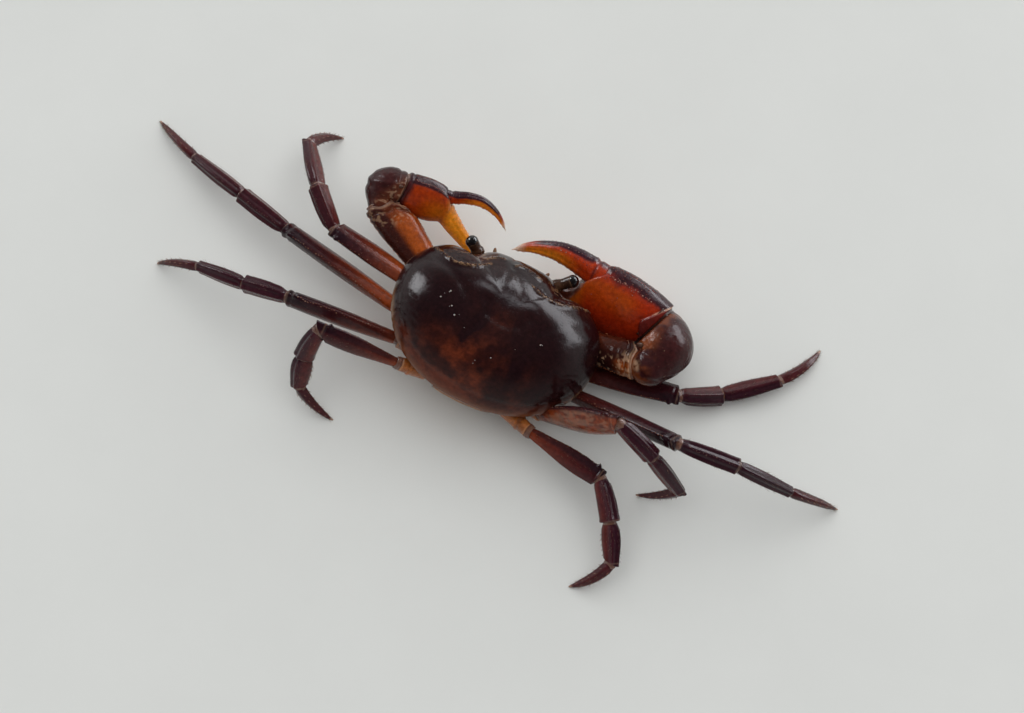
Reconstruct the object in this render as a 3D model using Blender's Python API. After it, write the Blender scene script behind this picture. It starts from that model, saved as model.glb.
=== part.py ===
"""Freshwater crab, life size, standing on eight walking legs with its claws in front.

Frame: metres, +Z up, the animal faces -Y and its left side is +X.
Origin: centre of the bounding box's bottom, on the floor.
All lengths below are in millimetres and are turned into metres when a mesh is made.
"""
import bpy
import bmesh
import math
from mathutils import Vector, Matrix

# ------------------------------------------------------------------ driving sizes (mm)
CARAPACE_WIDTH = 25.0
CARAPACE_LENGTH = 18.2
DOME_HEIGHT = 6.0            # top of the shell above its side margin
FRONT_DROP = 0.8             # how much lower the shell is towards its front
SEAM = -2.0                  # level where the shell meets the under side
BODY_DEPTH = 5.7             # sternum below the side margin
GAP = 0.12                   # half of the clearance between neighbours
MARGIN_HEIGHT = 7.8          # side margin above the floor
BODY_SHIFT_X = 2.24          # body centre, seen from above
BODY_SHIFT_Y = -0.07
BODY_ROLL = 12.0             # degrees, right side down
BODY_PITCH = 7.0             # degrees, front down
TIP_LIFT = 0.30              # centre of a leg tip above the floor
SEGMENTS = 10                # sides of a limb section

# lengths of merus, carpus, propodus and dactylus of the four walking legs
LEG_LENGTHS = {
    1: (12.0, 5.5, 7.0, 6.5),
    2: (17.0, 7.1, 8.1, 7.4),
    3: (13.6, 5.7, 6.5, 6.95),
    4: (10.1, 5.0, 4.7, 6.0),
}
LEG_GIRTH = {1: 0.98, 2: 1.02, 3: 0.98, 4: 0.96}
# root of each merus in the body's own frame: sideways, backward, up
LEG_ROOTS = {
    (1, "left"): (9.6, -2.0, -2.9), (1, "right"): (11.2, -1.2, -3.1),
    (2, "left"): (10.9, 1.4, -2.9), (2, "right"): (10.9, 1.9, -2.9),
    (3, "left"): (9.5, 4.9, -2.8), (3, "right"): (9.0, 5.7, -2.9),
    (4, "left"): (8.2, 7.6, -2.6), (4, "right"): (8.4, 8.5, -2.2),
}
# where each coxa leaves the sternum
COXA_ROOTS = {1: (6.0, -1.4, -4.0), 2: (6.3, 1.6, -4.0), 3: (5.9, 4.4, -3.9), 4: (5.0, 6.8, -3.5)}
# heading of each segment: degrees forward of straight out sideways, then degrees upward
LEG_POSE = {
    (1, "left"): ((13.5, 3.6), (47.3, 2.7), (56.3, -22.5), (123.4, -47.0)),
    (1, "right"): ((5.7, 4.5), (29.0, -22.2), (35.0, 3.4), (60.4, -11.6)),
    (2, "left"): ((16.8, -8.9), (19.0, -6.7), (20.2, -12.6), (28.1, -14.6)),
    (2, "right"): ((-12.6, 29.8), (4.6, -18.0), (5.1, -35.3), (11.2, -35.0)),
    (3, "left"): ((0.0, -0.3), (0.2, -15.2), (4.5, -16.7), (-3.2, -34.1)),
    (3, "right"): ((-2.3, 46.5), (-17.5, -33.3), (-19.0, -49.9), (-168.9, -49.5)),
    (4, "left"): ((-4.4, 24.7), (-64.9, -56.6), (-91.9, -57.1), (-162.0, -38.1)),
    (4, "right"): ((-15.0, 7.5), (-56.0, -11.0), (-66.2, -24.0), (-135.4, -31.5)),
}
# a merus that is stouter than the rest in its middle
MERUS_BULK = {(3, "right"): 0.28}
# how far the broad side of a leg leans out of the upright when its joints hardly bend
UPRIGHT_PULL = 0.30

# claws: places of root (body frame), elbow and wrist (world), pointing of the palm, lean of its height
CLAWS = {
    "right": dict(root=(7.4, -4.2, -3.4), elbow=(-15.75, -2.9, 6.7), knob=(-16.4, -5.9, 6.2), wrist=(-14.45, -8.3, 5.0),
                  heading=(0.985, -0.165, -0.03), up=(-0.180, -0.597, 0.781), face=(0.89, -0.409, 0.203),
                  size=1.0, finger=1.0, slender=1.0, fixed=1.1, droop=(0.0, 0.0), lean=-0.10, arch=0.0,
                  upper=0.95, tuck=False, balls=(2.3, 3.3, 2.4)),
    "left": dict(root=(8.3, -4.1, -3.5), elbow=(19.95, -9.7, 7.6), knob=(20.1, -11.5, 7.9), wrist=(18.3, -11.85, 8.6),
                 heading=(-0.940, -0.051, -0.337), up=(-0.084, -0.709, 0.700), face=(-0.940, -0.051, -0.337),
                 size=0.62, finger=1.22, slender=0.82, fixed=1.4, droop=(0.6, -0.40), lean=0.0, arch=1.2,
                 upper=1.05, tuck=True, balls=(1.75, 2.35, 1.95)),
}
# palm, for a claw of size 1: along, centre height, half height, half thickness
PALM = {
    "right": ((-1.6, 0.3, 2.7, 1.8), (-0.4, 0.2, 3.2, 2.1), (1.4, -0.1, 3.95, 2.4), (4.4, -0.4, 4.65, 2.6),
              (7.0, -0.45, 4.55, 2.5), (8.7, -0.55, 3.95, 2.2), (9.7, -1.4, 2.6, 1.8)),
    "left": ((-1.6, 0.3, 2.7, 1.8), (-0.4, 0.2, 3.2, 2.1), (1.4, -0.1, 3.9, 2.4), (4.4, -0.05, 4.2, 2.6),
             (7.0, 0.05, 3.9, 2.5), (8.7, -0.05, 3.15, 2.2), (9.7, -1.1, 2.4, 1.8)),
}
FINGER_FIXED = ((10.6, -2.4, 1.60, 1.30), (12.5, -3.0, 1.30, 1.05), (14.4, -3.5, 1.05, 0.85),
                (16.0, -3.9, 0.72, 0.62), (17.2, -4.0, 0.35, 0.32))
FINGER_MOVING = ((-1.5, 0.0, 1.50, 1.30), (0.0, 0.0, 1.65, 1.35), (2.5, 0.50, 1.50, 1.20), (5.0, 0.60, 1.22, 1.00),
                 (7.4, 0.0, 0.88, 0.78), (9.2, -0.95, 0.58, 0.52), (10.3, -1.9, 0.32, 0.30))
HINGE = (8.7, 2.3)
MM = 0.001


# ------------------------------------------------------------------ small helpers
def smooth(x):
    x = max(0.0, min(1.0, x))
    return x * x * (3.0 - 2.0 * x)


def lerp(a, b, u):
    return a + (b - a) * u


def profile(table, u):
    """Smooth interpolation in a short table of (place, value) pairs."""
    if u <= table[0][0]:
        return table[0][1]
    for (u0, v0), (u1, v1) in zip(table, table[1:]):
        if u <= u1:
            return lerp(v0, v1, smooth((u - u0) / (u1 - u0)))
    return table[-1][1]


def power(v, p):
    return math.copysign(abs(v) ** p, v)


def material(name, color, rough, coat=0.4):
    mat = bpy.data.materials.new(name)
    mat.use_nodes = True
    node = mat.node_tree.nodes["Principled BSDF"]
    node.inputs["Base Color"].default_value = (*color, 1.0)
    node.inputs["Roughness"].default_value = rough
    node.inputs["Metallic"].default_value = 0.0
    node.inputs["Coat Weight"].default_value = coat
    mat.diffuse_color = (*color, 1.0)
    return mat


def finish_mesh(bm, name, mat, hidden=False):
    bmesh.ops.remove_doubles(bm, verts=bm.verts, dist=2e-6)
    bmesh.ops.recalc_face_normals(bm, faces=bm.faces)
    mesh = bpy.data.meshes.new(name)
    bm.to_mesh(mesh)
    bm.free()
    mesh.materials.append(mat)
    for poly in mesh.polygons:
        poly.use_smooth = True
    mesh.set_sharp_from_angle(angle=math.radians(40))
    obj = bpy.data.objects.new(name, mesh)
    bpy.context.scene.collection.objects.link(obj)
    if hidden:
        obj.hide_render = True
        obj.display_type = "WIRE"
    return obj


def loft(rings, start_tip=None, end_tip=None):
    """Skin a row of rings of equal count; a tip point closes an end, else a flat cap does."""
    bm = bmesh.new()
    rows = [[bm.verts.new(Vector(p) * MM) for p in ring] for ring in rings]
    n = len(rows[0])
    for a, b in zip(rows, rows[1:]):
        for i in range(n):
            j = (i + 1) % n
            bm.faces.new((a[i], a[j], b[j], b[i]))
    for row, tip in ((rows[0], start_tip), (rows[-1], end_tip)):
        if tip is None:
            bm.faces.new(row)
        else:
            v = bm.verts.new(Vector(tip) * MM)
            for i in range(n):
                bm.faces.new((row[i], row[(i + 1) % n], v))
    bmesh.ops.recalc_face_normals(bm, faces=bm.faces)
    return bm


def cut(bm, point, normal):
    """Keep what lies behind the plane and close the cut."""
    res = bmesh.ops.bisect_plane(bm, geom=bm.verts[:] + bm.edges[:] + bm.faces[:],
                                 plane_co=Vector(point) * MM, plane_no=Vector(normal),
                                 clear_outer=True, clear_inner=False, dist=1e-7)
    edges = [e for e in bm.edges if e.is_boundary]
    if edges:
        bmesh.ops.holes_fill(bm, edges=edges, sides=0)
    return bm


def section(center, broad, thin, hb, ht, count=SEGMENTS, squareness=2.3, keel=0.0):
    """A rounded section: hb along broad, ht along thin, with an optional keel on the broad side."""
    ring = []
    for i in range(count):
        a = 2 * math.pi * i / count
        c, s = power(math.cos(a), 2 / squareness), power(math.sin(a), 2 / squareness)
        grow = 1.0 + keel * max(0.0, math.cos(a)) ** 6
        ring.append(center + broad * (hb * c * grow) + thin * (ht * s))
    return ring


def subtract(target, cutter):
    mod = target.modifiers.new("cut_" + cutter.name, "BOOLEAN")
    mod.operation = "DIFFERENCE"
    mod.object = cutter
    mod.solver = "EXACT"


# ------------------------------------------------------------------ body frame
def body_matrix():
    roll, pitch = math.radians(BODY_ROLL), math.radians(BODY_PITCH)
    return Matrix.Rotation(pitch, 3, "X") @ Matrix.Rotation(-roll, 3, "Y")


BODY_SPIN = body_matrix()


def body(p):
    """Body frame (left, back, up) to world, before the last shift to the origin."""
    v = BODY_SPIN @ Vector(p)
    return Vector((v.x + BODY_SHIFT_X, v.y + BODY_SHIFT_Y, v.z + MARGIN_HEIGHT))


def side(p, name):
    return (p[0] if name == "left" else -p[0], p[1], p[2])


# ------------------------------------------------------------------ shell
def outline(t, grow=1.0):
    """Seen from above: broad oval, widest ahead of the middle, narrowed to the rear."""
    a, b = CARAPACE_WIDTH / 2, CARAPACE_LENGTH / 2
    x = a * power(math.cos(t), 2 / 2.35)
    y = -b * power(math.sin(t), 2 / 2.35)
    x *= 1.0 - 0.096 * max(0.0, y / b + 0.25) ** 1.5
    # orbits: a shallow bay on each side of the front
    bay = math.exp(-((abs(x) - 6.1) / 1.7) ** 2) if y < 0 else 0.0
    y += 1.15 * bay
    return x * grow, y * grow


def margin_level(t):
    s = math.sin(t)
    return -1.0 * smooth((-s - 0.1) / 0.9) - 0.9 * smooth((s - 0.45) / 0.55)


def shell_point(t, r):
    """r runs from 0 at the crown over 1 at the widest level to 1.2 at the lip."""
    x, y = outline(t)
    zm = margin_level(t)
    if r > 1.0:
        u = (r - 1.0) / 0.2
        return (x * (1.0 - 0.10 * u ** 1.6), y * (1.0 - 0.07 * u ** 1.6), lerp(zm, SEAM, u))
    dome = (1.0 - r ** 2.9) ** 0.56
    cy = -0.9 * (1.0 - r)
    swell = 0.012 * CARAPACE_WIDTH * math.sin(math.pi * r ** 6) * abs(math.cos(t))
    x += math.copysign(swell, x)
    y = y * r + cy
    crown = DOME_HEIGHT - FRONT_DROP * smooth((-y - 0.5) / 7.5)
    return (x * r, y, zm + (crown - zm) * dome)


def build_shell(mat):
    count = 36
    rings = []
    for r in (0.20, 0.40, 0.57, 0.71, 0.83, 0.92, 0.975, 1.0, 1.09, 1.2):
        rings.append([body(shell_point(2 * math.pi * i / count, r)) for i in range(count)])
    bm = loft(rings, start_tip=body((0, -0.9, DOME_HEIGHT)))
    return finish_mesh(bm, "carapace", mat)


def under_scale(t, u):
    """How far the under side reaches at depth u of 0 (seam) to 1 (sternum)."""
    s = math.sin(t)
    front = smooth((s - 0.25) / 0.6)
    rear = smooth((-s - 0.3) / 0.6)
    bottom = 0.46 + 0.12 * rear
    return lerp(0.86 - 0.02 * front - 0.07 * rear, bottom, u ** 0.85) + 0.03 * front * math.sin(math.pi * u)


def build_sternum(mat):
    count = 30
    rings = []
    top, low = SEAM - 2 * GAP, -BODY_DEPTH
    for u in (0.0, 0.3, 0.6, 0.85, 1.0):
        ring = []
        for i in range(count):
            t = 2 * math.pi * i / count
            x, y = outline(t, under_scale(t, u))
            ring.append(body((x, y + 0.9 * u, lerp(top, low, u))))
        rings.append(ring)
    bm = loft(rings)
    return finish_mesh(bm, "sternum", mat)


def build_abdomen(mat):
    """A narrow plate folded under: it starts behind the shell and runs forward beneath."""
    path = ((8.05, -2.75), (7.75, -3.9), (7.3, -5.3), (6.2, -6.35), (3.5, -6.5), (0.5, -6.5), (-2.2, -6.5))
    widths = (3.5, 3.6, 3.4, 3.2, 2.6, 1.7, 0.9)
    rings = []
    for k, ((y, z), w) in enumerate(zip(path, widths)):
        y0, z0 = path[max(0, k - 1)]
        y1, z1 = path[min(len(path) - 1, k + 1)]
        t = Vector((0, y1 - y0, z1 - z0)).normalized()
        n = Vector((1, 0, 0)).cross(t)
        ring = [Vector((w * c, y, z)) + n * (0.36 * s) for c, s in
                ((1, -0.6), (1, 0.6), (0.8, 1), (0, 1.15), (-0.8, 1), (-1, 0.6), (-1, -0.6), (-0.8, -1), (0, -1), (0.8, -1))]
        rings.append([body(p) for p in ring])
    return finish_mesh(loft(rings), "abdomen", mat)


def build_maxilliped(name, mat, grow=0.0):
    """One of the two plates that close the mouth like a pair of doors."""
    top, low = Vector((0, -8.15, -2.7)), Vector((0, -4.6, -5.75))
    axis = (low - top).normalized()
    out = axis.cross(Vector((1, 0, 0)))
    if out.z > 0:
        out = -out
    rings = []
    for u, w in ((0.0, 1.9), (0.12, 2.35), (0.5, 2.5), (0.85, 2.1), (1.0, 1.5)):
        c = top.lerp(low, u) + axis * (grow * (2 * u - 1))
        x0, x1 = 0.15 - min(grow, 0.05), w + grow
        ring = [Vector((x, 0, 0)) + c + out * h for x, h in
                ((x0, 0.35 + grow), (lerp(x0, x1, 0.7), 0.42 + grow), (x1, 0.15 + grow), (x1, -0.35 - grow), (x0, -0.35 - grow))]
        sx = 1 if name == "left" else -1
        rings.append([body((p.x * sx, p.y, p.z)) for p in ring])
    label = "maxilliped_" + name if not grow else "mouth_recess_" + name
    return finish_mesh(loft(rings), label, mat, hidden=bool(grow))


EYE = dict(base={"left": (5.1, -7.75, 0.1), "right": (4.2, -7.85, 0.1)},
           tip={"left": (7.0, -8.55, 1.5), "right": (6.5, -9.4, 1.9)}, stalk=0.62, ball=0.76)


def stalk_frame(name):
    a, b = body(side(EYE["base"][name], name)), body(side(EYE["tip"][name], name))
    t = (b - a).normalized()
    n = t.cross(Vector((0, 0, 1))).normalized()
    return a, b, t, n, t.cross(n)


def build_eye(name, mat_stalk, mat_ball):
    a, b, t, n, up = stalk_frame(name)
    length = (b - a).length
    ball = EYE["ball"]
    split = length - 1.15 * ball
    rings = []
    for u, g in ((0.0, 1.0), (0.25, 1.15), (0.6, 0.95), (0.85, 1.1), (1.0, 1.2)):
        c = a + t * (split * u)
        rings.append(section(c, up, n, EYE["stalk"] * g, EYE["stalk"] * g, 10, 2.0))
    finish_mesh(loft(rings), "eyestalk_" + name, mat_stalk)
    rings = []
    start = split + 2 * GAP
    for u in (0.0, 0.3, 0.55, 0.78, 0.93):
        s = lerp(start, length, u)
        g = math.sqrt(max(0.0, 1.0 - ((u - 0.28) / 0.72) ** 2)) if u > 0.28 else 1.0 - 0.12 * (1 - u / 0.28)
        rings.append(section(a + t * s, up, n, ball * g, ball * g, 12, 2.0))
    finish_mesh(loft(rings, end_tip=b), "eye_" + name, mat_ball)
    rings = [section(a + t * s, up, n, EYE["stalk"] * 1.15 + g, EYE["stalk"] * 1.15 + g, 12, 2.0)
             for s, g in ((-2 * GAP, 0.22), (0.5, 0.26), (1.6, 0.45), (3.4, 0.6))]
    return finish_mesh(loft(rings), "orbit_" + name, mat_stalk, hidden=True)


def build_antenna(name, mat):
    a, b = body(side((2.7, -8.7, -2.4), name)), body(side((3.5, -10.2, -1.9), name))
    t = (b - a).normalized()
    n = t.cross(Vector((0, 0, 1))).normalized()
    up = t.cross(n)
    rings = [section(a.lerp(b, u) + up * 0.35 * math.sin(math.pi * u), up, n, g, g, 8, 2.0)
             for u, g in ((0.0, 0.45), (0.25, 0.48), (0.35, 0.33), (0.7, 0.28), (1.0, 0.25))]
    finish_mesh(loft(rings), "antenna_" + name, mat)
    return


# ------------------------------------------------------------------ claws
def claw_frame(name):
    c = CLAWS[name]
    along = Vector(c["heading"]).normalized()
    up = Vector(c["up"])
    up = (up - along * up.dot(along)).normalized()
    return Vector(c["wrist"]), along, up, along.cross(up), c


def finger_rings(name, stations, origin, tooth_side, grow=0.0, count=12, fine=2):
    """Sections of a palm or finger; teeth stand on the biting edge of the fine stations."""
    wrist, along, up, out, c = claw_frame(name)
    size = c["size"]
    rings = []
    for k, (a, b, hh, ht) in enumerate(stations):
        p = wrist + along * ((origin[0] + a) * size) + up * ((origin[1] + b) * size)
        ring = []
        for i in range(count):
            ang = 2 * math.pi * i / count
            cs, sn = power(math.cos(ang), 2 / 2.2), power(math.sin(ang), 2 / 2.2)
            tooth = 0.0
            if tooth_side and k >= fine and k % 2 == 1 and k < len(stations) - 2:
                tooth = 0.30 * size * max(0.0, tooth_side * math.cos(ang)) ** 3
            ring.append(p + up * ((hh * size + grow) * cs + tooth_side * tooth) + out * ((ht * size + grow) * sn))
        rings.append(ring)
    return rings


def dense(stations, parts):
    """Insert smooth in-between stations."""
    rows = []
    n = len(stations)
    for k in range(n - 1):
        p0, p1, p2, p3 = (stations[max(0, k - 1)], stations[k], stations[k + 1], stations[min(n - 1, k + 2)])
        for m in range(parts):
            u = m / parts
            row = []
            for q0, q1, q2, q3 in zip(p0, p1, p2, p3):
                row.append(0.5 * (2 * q1 + (q2 - q0) * u + (2 * q0 - 5 * q1 + 4 * q2 - q3) * u * u
                                  + (3 * q1 - q0 - 3 * q2 + q3) * u ** 3))
            rows.append(tuple(row))
    rows.append(stations[-1])
    return rows


def fixed_finger(c, table):
    """Stations of the fixed finger, stretched, thickened and drooping as this claw needs."""
    rows = []
    for a, b, hh, ht in table:
        a = 10.6 + (a - 10.6) * c["finger"]
        rows.append((a, b + c["droop"][0] + c["droop"][1] * (a - 10.6), hh * c["fixed"], ht * c["fixed"]))
    return rows


def moving_finger(c, table):
    """Stations of the moving finger, stretched, leaning and arched as this claw needs."""
    rows = []
    for a, b, hh, ht in table:
        if a > 0:
            b += c["lean"] * a + c["arch"] * math.sin(math.pi * a / 10.8)
            a *= c["finger"]
        rows.append((a, b, hh * c["slender"], ht * c["slender"]))
    return rows


def elbow_balls(c):
    """Balls strung on the curve elbow - knob - wrist, whose common outline is the swollen carpus."""
    elbow, knob, wrist = Vector(c["elbow"]), Vector(c["knob"]), Vector(c["wrist"])
    r0, r1, r2 = c["balls"]
    balls = []
    for i in range(25):
        u = i / 24
        q = elbow * ((1 - u) * (1 - 2 * u)) + knob * (4 * u * (1 - u)) + wrist * (u * (2 * u - 1))
        balls.append((q, profile(((0.0, r0), (0.5, r1), (1.0, r2)), u)))
    return balls, knob * 0.6 + (elbow + wrist) * 0.2


def elbow_rings(balls, mid, pole, first, grow=0.0):
    """Rings and poles of the outline of the balls, seen from their middle."""
    second = pole.cross(first)
    balls = [(q, g + grow) for q, g in balls]
    rings = []
    for k in range(1, 9):
        lat = math.pi * (k / 9 - 0.5)
        ring = []
        for i in range(16):
            ang = 2 * math.pi * i / 16
            d = (first * math.cos(ang) + second * math.sin(ang)) * math.cos(lat) + pole * math.sin(lat)
            ring.append(mid + d * reach(balls, mid, d))
        rings.append(ring)
    return loft(rings, start_tip=mid - pole * reach(balls, mid, -pole), end_tip=mid + pole * reach(balls, mid, pole))


def reach(balls, start, d):
    """How far the string of balls reaches from an inner point in direction d."""
    far = 0.0
    for q, g in balls:
        along = (q - start).dot(d)
        off = (q - start).length_squared - along * along
        if off < g * g:
            far = max(far, along + math.sqrt(g * g - off))
    return far


def build_claw(name, mats, sternum_cutters, shell_cutters):
    wrist, along, up, out, c = claw_frame(name)
    size = c["size"]
    label = "claw_%s_" % name
    # palm and fixed finger, one piece
    face = Vector(c["face"]).normalized()
    stations = list(PALM[name]) + fixed_finger(c, dense(FINGER_FIXED, 2))
    rings = finger_rings(name, stations, (0, 0), 1, fine=len(PALM[name]))
    bm = loft(rings)
    cut(bm, wrist + face * GAP, -face)
    palm = finish_mesh(bm, label + "palm", mats["palm"])
    # moving finger, and the seat it needs in the palm
    rings = finger_rings(name, moving_finger(c, dense(FINGER_MOVING, 2)), HINGE, -1, fine=5)
    finish_mesh(loft(rings), label + "finger", mats["finger"])
    seat = [(-1.5 - 2.5 * GAP / size,) + FINGER_MOVING[0][1:]] + list(FINGER_MOVING[:4])
    rings = finger_rings(name, moving_finger(c, seat), HINGE, 0, grow=2.2 * GAP)
    subtract(palm, finish_mesh(loft(rings), label + "seat", mats["palm"], hidden=True))
    # carpus: a short swollen elbow from the end of the merus round to the wrist
    root, elbow = body(side(c["root"], name)), Vector(c["elbow"])
    arm = (elbow - root).normalized()
    balls, mid = elbow_balls(c)
    pole = arm.cross(along).normalized()
    first = (wrist - elbow).normalized()
    first = (first - pole * first.dot(pole)).normalized()
    bm = elbow_rings(balls, mid, pole, first)
    cut(bm, wrist - face * GAP, face)
    finish_mesh(bm, label + "carpus", mats["carpus"])
    socket = finish_mesh(elbow_rings(balls, mid, pole, first, 2 * GAP), label + "hollow", mats["carpus"], hidden=True)
    # merus, from the body to the elbow
    thin = Vector((0, 0, 1))
    thin = (thin - arm * thin.dot(arm)).normalized()
    broad = arm.cross(thin)
    length = (elbow - root).length
    k = c["upper"]
    rings = []
    for u, hb, ht in ((0.0, 1.35, 1.15), (0.2, 1.6, 1.3), (0.45, 1.9, 1.5), (0.7, 2.15, 1.65), (0.92, 2.2, 1.7), (1.0, 1.9, 1.5)):
        bow = 0.25 * math.sin(math.pi * u)
        rings.append(section(root + arm * (length * u) + thin * bow, broad, thin, hb * k, ht * k, 12, 2.5))
    merus = finish_mesh(loft(rings), label + "merus", mats["arm"])
    subtract(merus, socket)
    if c["tuck"]:
        # the lower edge of the palm folds into a shallow hollow of the merus
        rings = finger_rings(name, PALM[name][1:5], (0, 0), 0, grow=2.2 * GAP)
        subtract(merus, finish_mesh(loft(rings), label + "room", mats["arm"], hidden=True))
    rings = [section(root + arm * (length * u) + thin * 0.15, broad, thin, hb * k + 2 * GAP, ht * k + 2 * GAP, 14, 2.5)
             for u, hb, ht in ((-2.2 * GAP / length, 1.35, 1.15), (0.2, 1.6, 1.3), (0.45, 1.9, 1.5), (0.6, 2.05, 1.6))]
    cutter = finish_mesh(loft(rings), label + "socket", mats["arm"], hidden=True)
    sternum_cutters.append(cutter)
    shell_cutters.append(cutter)


# ------------------------------------------------------------------ walking legs
def heading(side_name, az, el):
    sx = 1.0 if side_name == "left" else -1.0
    a, e = math.radians(az), math.radians(el)
    return Vector((sx * math.cos(e) * math.cos(a), -math.cos(e) * math.sin(a), math.sin(e)))


def leg_frame(leg, name):
    """Joint places and the normal of the plane in which the leg folds."""
    start = body(side(LEG_ROOTS[(leg, name)], name))
    dirs = [heading(name, az, el) for az, el in LEG_POSE[(leg, name)]]
    pts = [start]
    for d, length in zip(dirs, LEG_LENGTHS[leg]):
        pts.append(pts[-1] + d * length)
    # the last joint lands exactly at the level of the floor
    pts[-1].z = TIP_LIFT
    dirs[-1] = (pts[-1] - pts[-2]).normalized()
    out = pts[-1] - pts[0]
    out.z = 0
    upright = out.normalized().cross(Vector((0, 0, -1)))
    normal = upright * UPRIGHT_PULL
    for d0, d1 in zip(dirs, dirs[1:]):
        normal += d0.cross(d1)
    return pts, dirs, normal.normalized()


LIMB_PROFILES = {
    # half height and half thickness along the segment
    "coxa": (((0, 1.35), (0.5, 1.35), (1, 1.10)), ((0, 1.12), (0.5, 1.10), (1, 0.92))),
    "merus": (((0, 1.05), (0.18, 1.25), (0.55, 1.48), (1, 1.22)), ((0, 0.80), (0.5, 0.98), (1, 0.92))),
    "carpus": (((0, 0.92), (0.6, 1.16), (1, 1.22)), ((0, 0.80), (0.6, 0.98), (1, 0.94))),
    "propodus": (((0, 1.00), (0.4, 1.14), (1, 0.86)), ((0, 0.76), (0.4, 0.82), (1, 0.64))),
    "dactylus": (((0, 0.74), (0.3, 0.66), (1, 0.27)), ((0, 0.58), (0.3, 0.52), (1, 0.25))),
}
BOW = {"coxa": 0.0, "merus": -0.05, "carpus": 0.15, "propodus": 0.05, "dactylus": 0.45}


def limb_rings(kind, a, b, normal, girth, reach0, reach1, steps, count=SEGMENTS, extra=0.0, bulk=0.0):
    axis = (b - a)
    length = axis.length
    t = axis.normalized()
    n = (normal - t * normal.dot(t)).normalized()
    up = t.cross(n)
    hb, ht = LIMB_PROFILES[kind]
    rings = []
    u0, u1 = -reach0 / length, 1.0 + reach1 / length
    for i in range(steps + 1):
        u = lerp(u0, u1, i / steps)
        bow = BOW[kind] * 4 * u * (1 - u) if 0 < u < 1 else 0.0
        c = a + axis * u + up * bow
        keel = 0.10 if kind in ("merus", "propodus") else 0.0
        fat = girth * (1 + bulk * math.sin(math.pi * u)) if 0 < u < 1 else girth
        rings.append(section(c, up, n, profile(hb, u) * fat + extra, profile(ht, u) * fat + extra,
                             count, keel=keel))
    return rings


def mitre(d0, d1):
    return (d0 + d1).normalized()


def build_leg(leg, name, mats, cutters, shell_cutters):
    pts, dirs, normal = leg_frame(leg, name)
    girth = LEG_GIRTH[leg]
    root = body(side(COXA_ROOTS[leg], name))
    kinds = ("merus", "carpus", "propodus", "dactylus")
    d_coxa = (pts[0] - root).normalized()
    all_dirs = [d_coxa] + dirs
    for k, kind in enumerate(kinds):
        a, b = pts[k], pts[k + 1]
        n0 = mitre(all_dirs[k], all_dirs[k + 1])
        bend0 = all_dirs[k].angle(all_dirs[k + 1]) / 2
        reach0 = 1.6 * math.tan(bend0) + 0.3
        last = kind == "dactylus"
        if not last:
            n1 = mitre(all_dirs[k + 1], all_dirs[k + 2])
            bend1 = all_dirs[k + 1].angle(all_dirs[k + 2]) / 2
            reach1 = 1.6 * math.tan(bend1) + 0.3
        else:
            reach1 = 0.0
        steps = {"merus": 5, "carpus": 4, "propodus": 4, "dactylus": 5}[kind]
        bulk = MERUS_BULK.get((leg, name), 0.0) if kind == "merus" else 0.0
        rings = limb_rings(kind, a, b, normal, girth, reach0, reach1, steps, bulk=bulk)
        bm = loft(rings)
        cut(bm, a + n0 * GAP, -n0)
        if last:
            cut(bm, (0, 0, 0), (0, 0, -1))
        else:
            cut(bm, b - n1 * GAP, n1)
        finish_mesh(bm, "leg%d_%s_%s" % (leg, name, kind), mats["limb" if k else "merus"])
    # coxa with the short ischium, from the socket in the sternum to the merus
    n1 = mitre(d_coxa, dirs[0])
    reach1 = 1.6 * math.tan(d_coxa.angle(dirs[0]) / 2) + 0.3
    rings = limb_rings("coxa", root, pts[0], normal_for_coxa(d_coxa), girth * COXA_GIRTH[leg], 0.0, reach1, 4)
    bm = loft(rings)
    cut(bm, pts[0] - n1 * GAP, n1)
    finish_mesh(bm, "leg%d_%s_coxa" % (leg, name), mats["coxa"])
    rings = limb_rings("coxa", root, pts[0], normal_for_coxa(d_coxa), girth * COXA_GIRTH[leg],
                       2 * GAP, 0.5, 4, extra=2 * GAP)
    bm = loft(rings)
    cutter = finish_mesh(bm, "socket%d_%s" % (leg, name), mats["coxa"], hidden=True)
    cutters.append(cutter)
    shell_cutters.append(cutter)
    rings = limb_rings("merus", pts[0], pts[1], normal, girth, 0.8, -0.45 * LEG_LENGTHS[leg][0], 3, extra=2 * GAP)
    notch = finish_mesh(loft(rings), "notch%d_%s" % (leg, name), mats["coxa"], hidden=True)
    cutters.append(notch)
    shell_cutters.append(notch)


COXA_GIRTH = {1: 1.0, 2: 1.0, 3: 0.98, 4: 0.84}


def normal_for_coxa(d):
    flat = Vector((d.x, d.y, 0)).normalized()
    return flat.cross(Vector((0, 0, -1)))


def clear_scene():
    for obj in list(bpy.data.objects):
        bpy.data.objects.remove(obj, do_unlink=True)


def stand_on_origin():
    """Hang every piece on one empty and set it so that the origin is the middle of the box's bottom."""
    bpy.context.view_layer.update()
    deps = bpy.context.evaluated_depsgraph_get()
    lo, hi = Vector((1e9,) * 3), Vector((-1e9,) * 3)
    for obj in bpy.data.objects:
        if obj.type != "MESH" or obj.hide_render:
            continue
        for v in obj.evaluated_get(deps).data.vertices:
            p = obj.matrix_world @ v.co
            for k in range(3):
                lo[k], hi[k] = min(lo[k], p[k]), max(hi[k], p[k])
    frame = bpy.data.objects.new("crab", None)
    bpy.context.scene.collection.objects.link(frame)
    for obj in list(bpy.data.objects):
        if obj.type == "MESH":
            obj.parent = frame
    frame.location = (-(lo.x + hi.x) / 2, -(lo.y + hi.y) / 2, -lo.z)
    bpy.context.view_layer.update()


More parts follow.
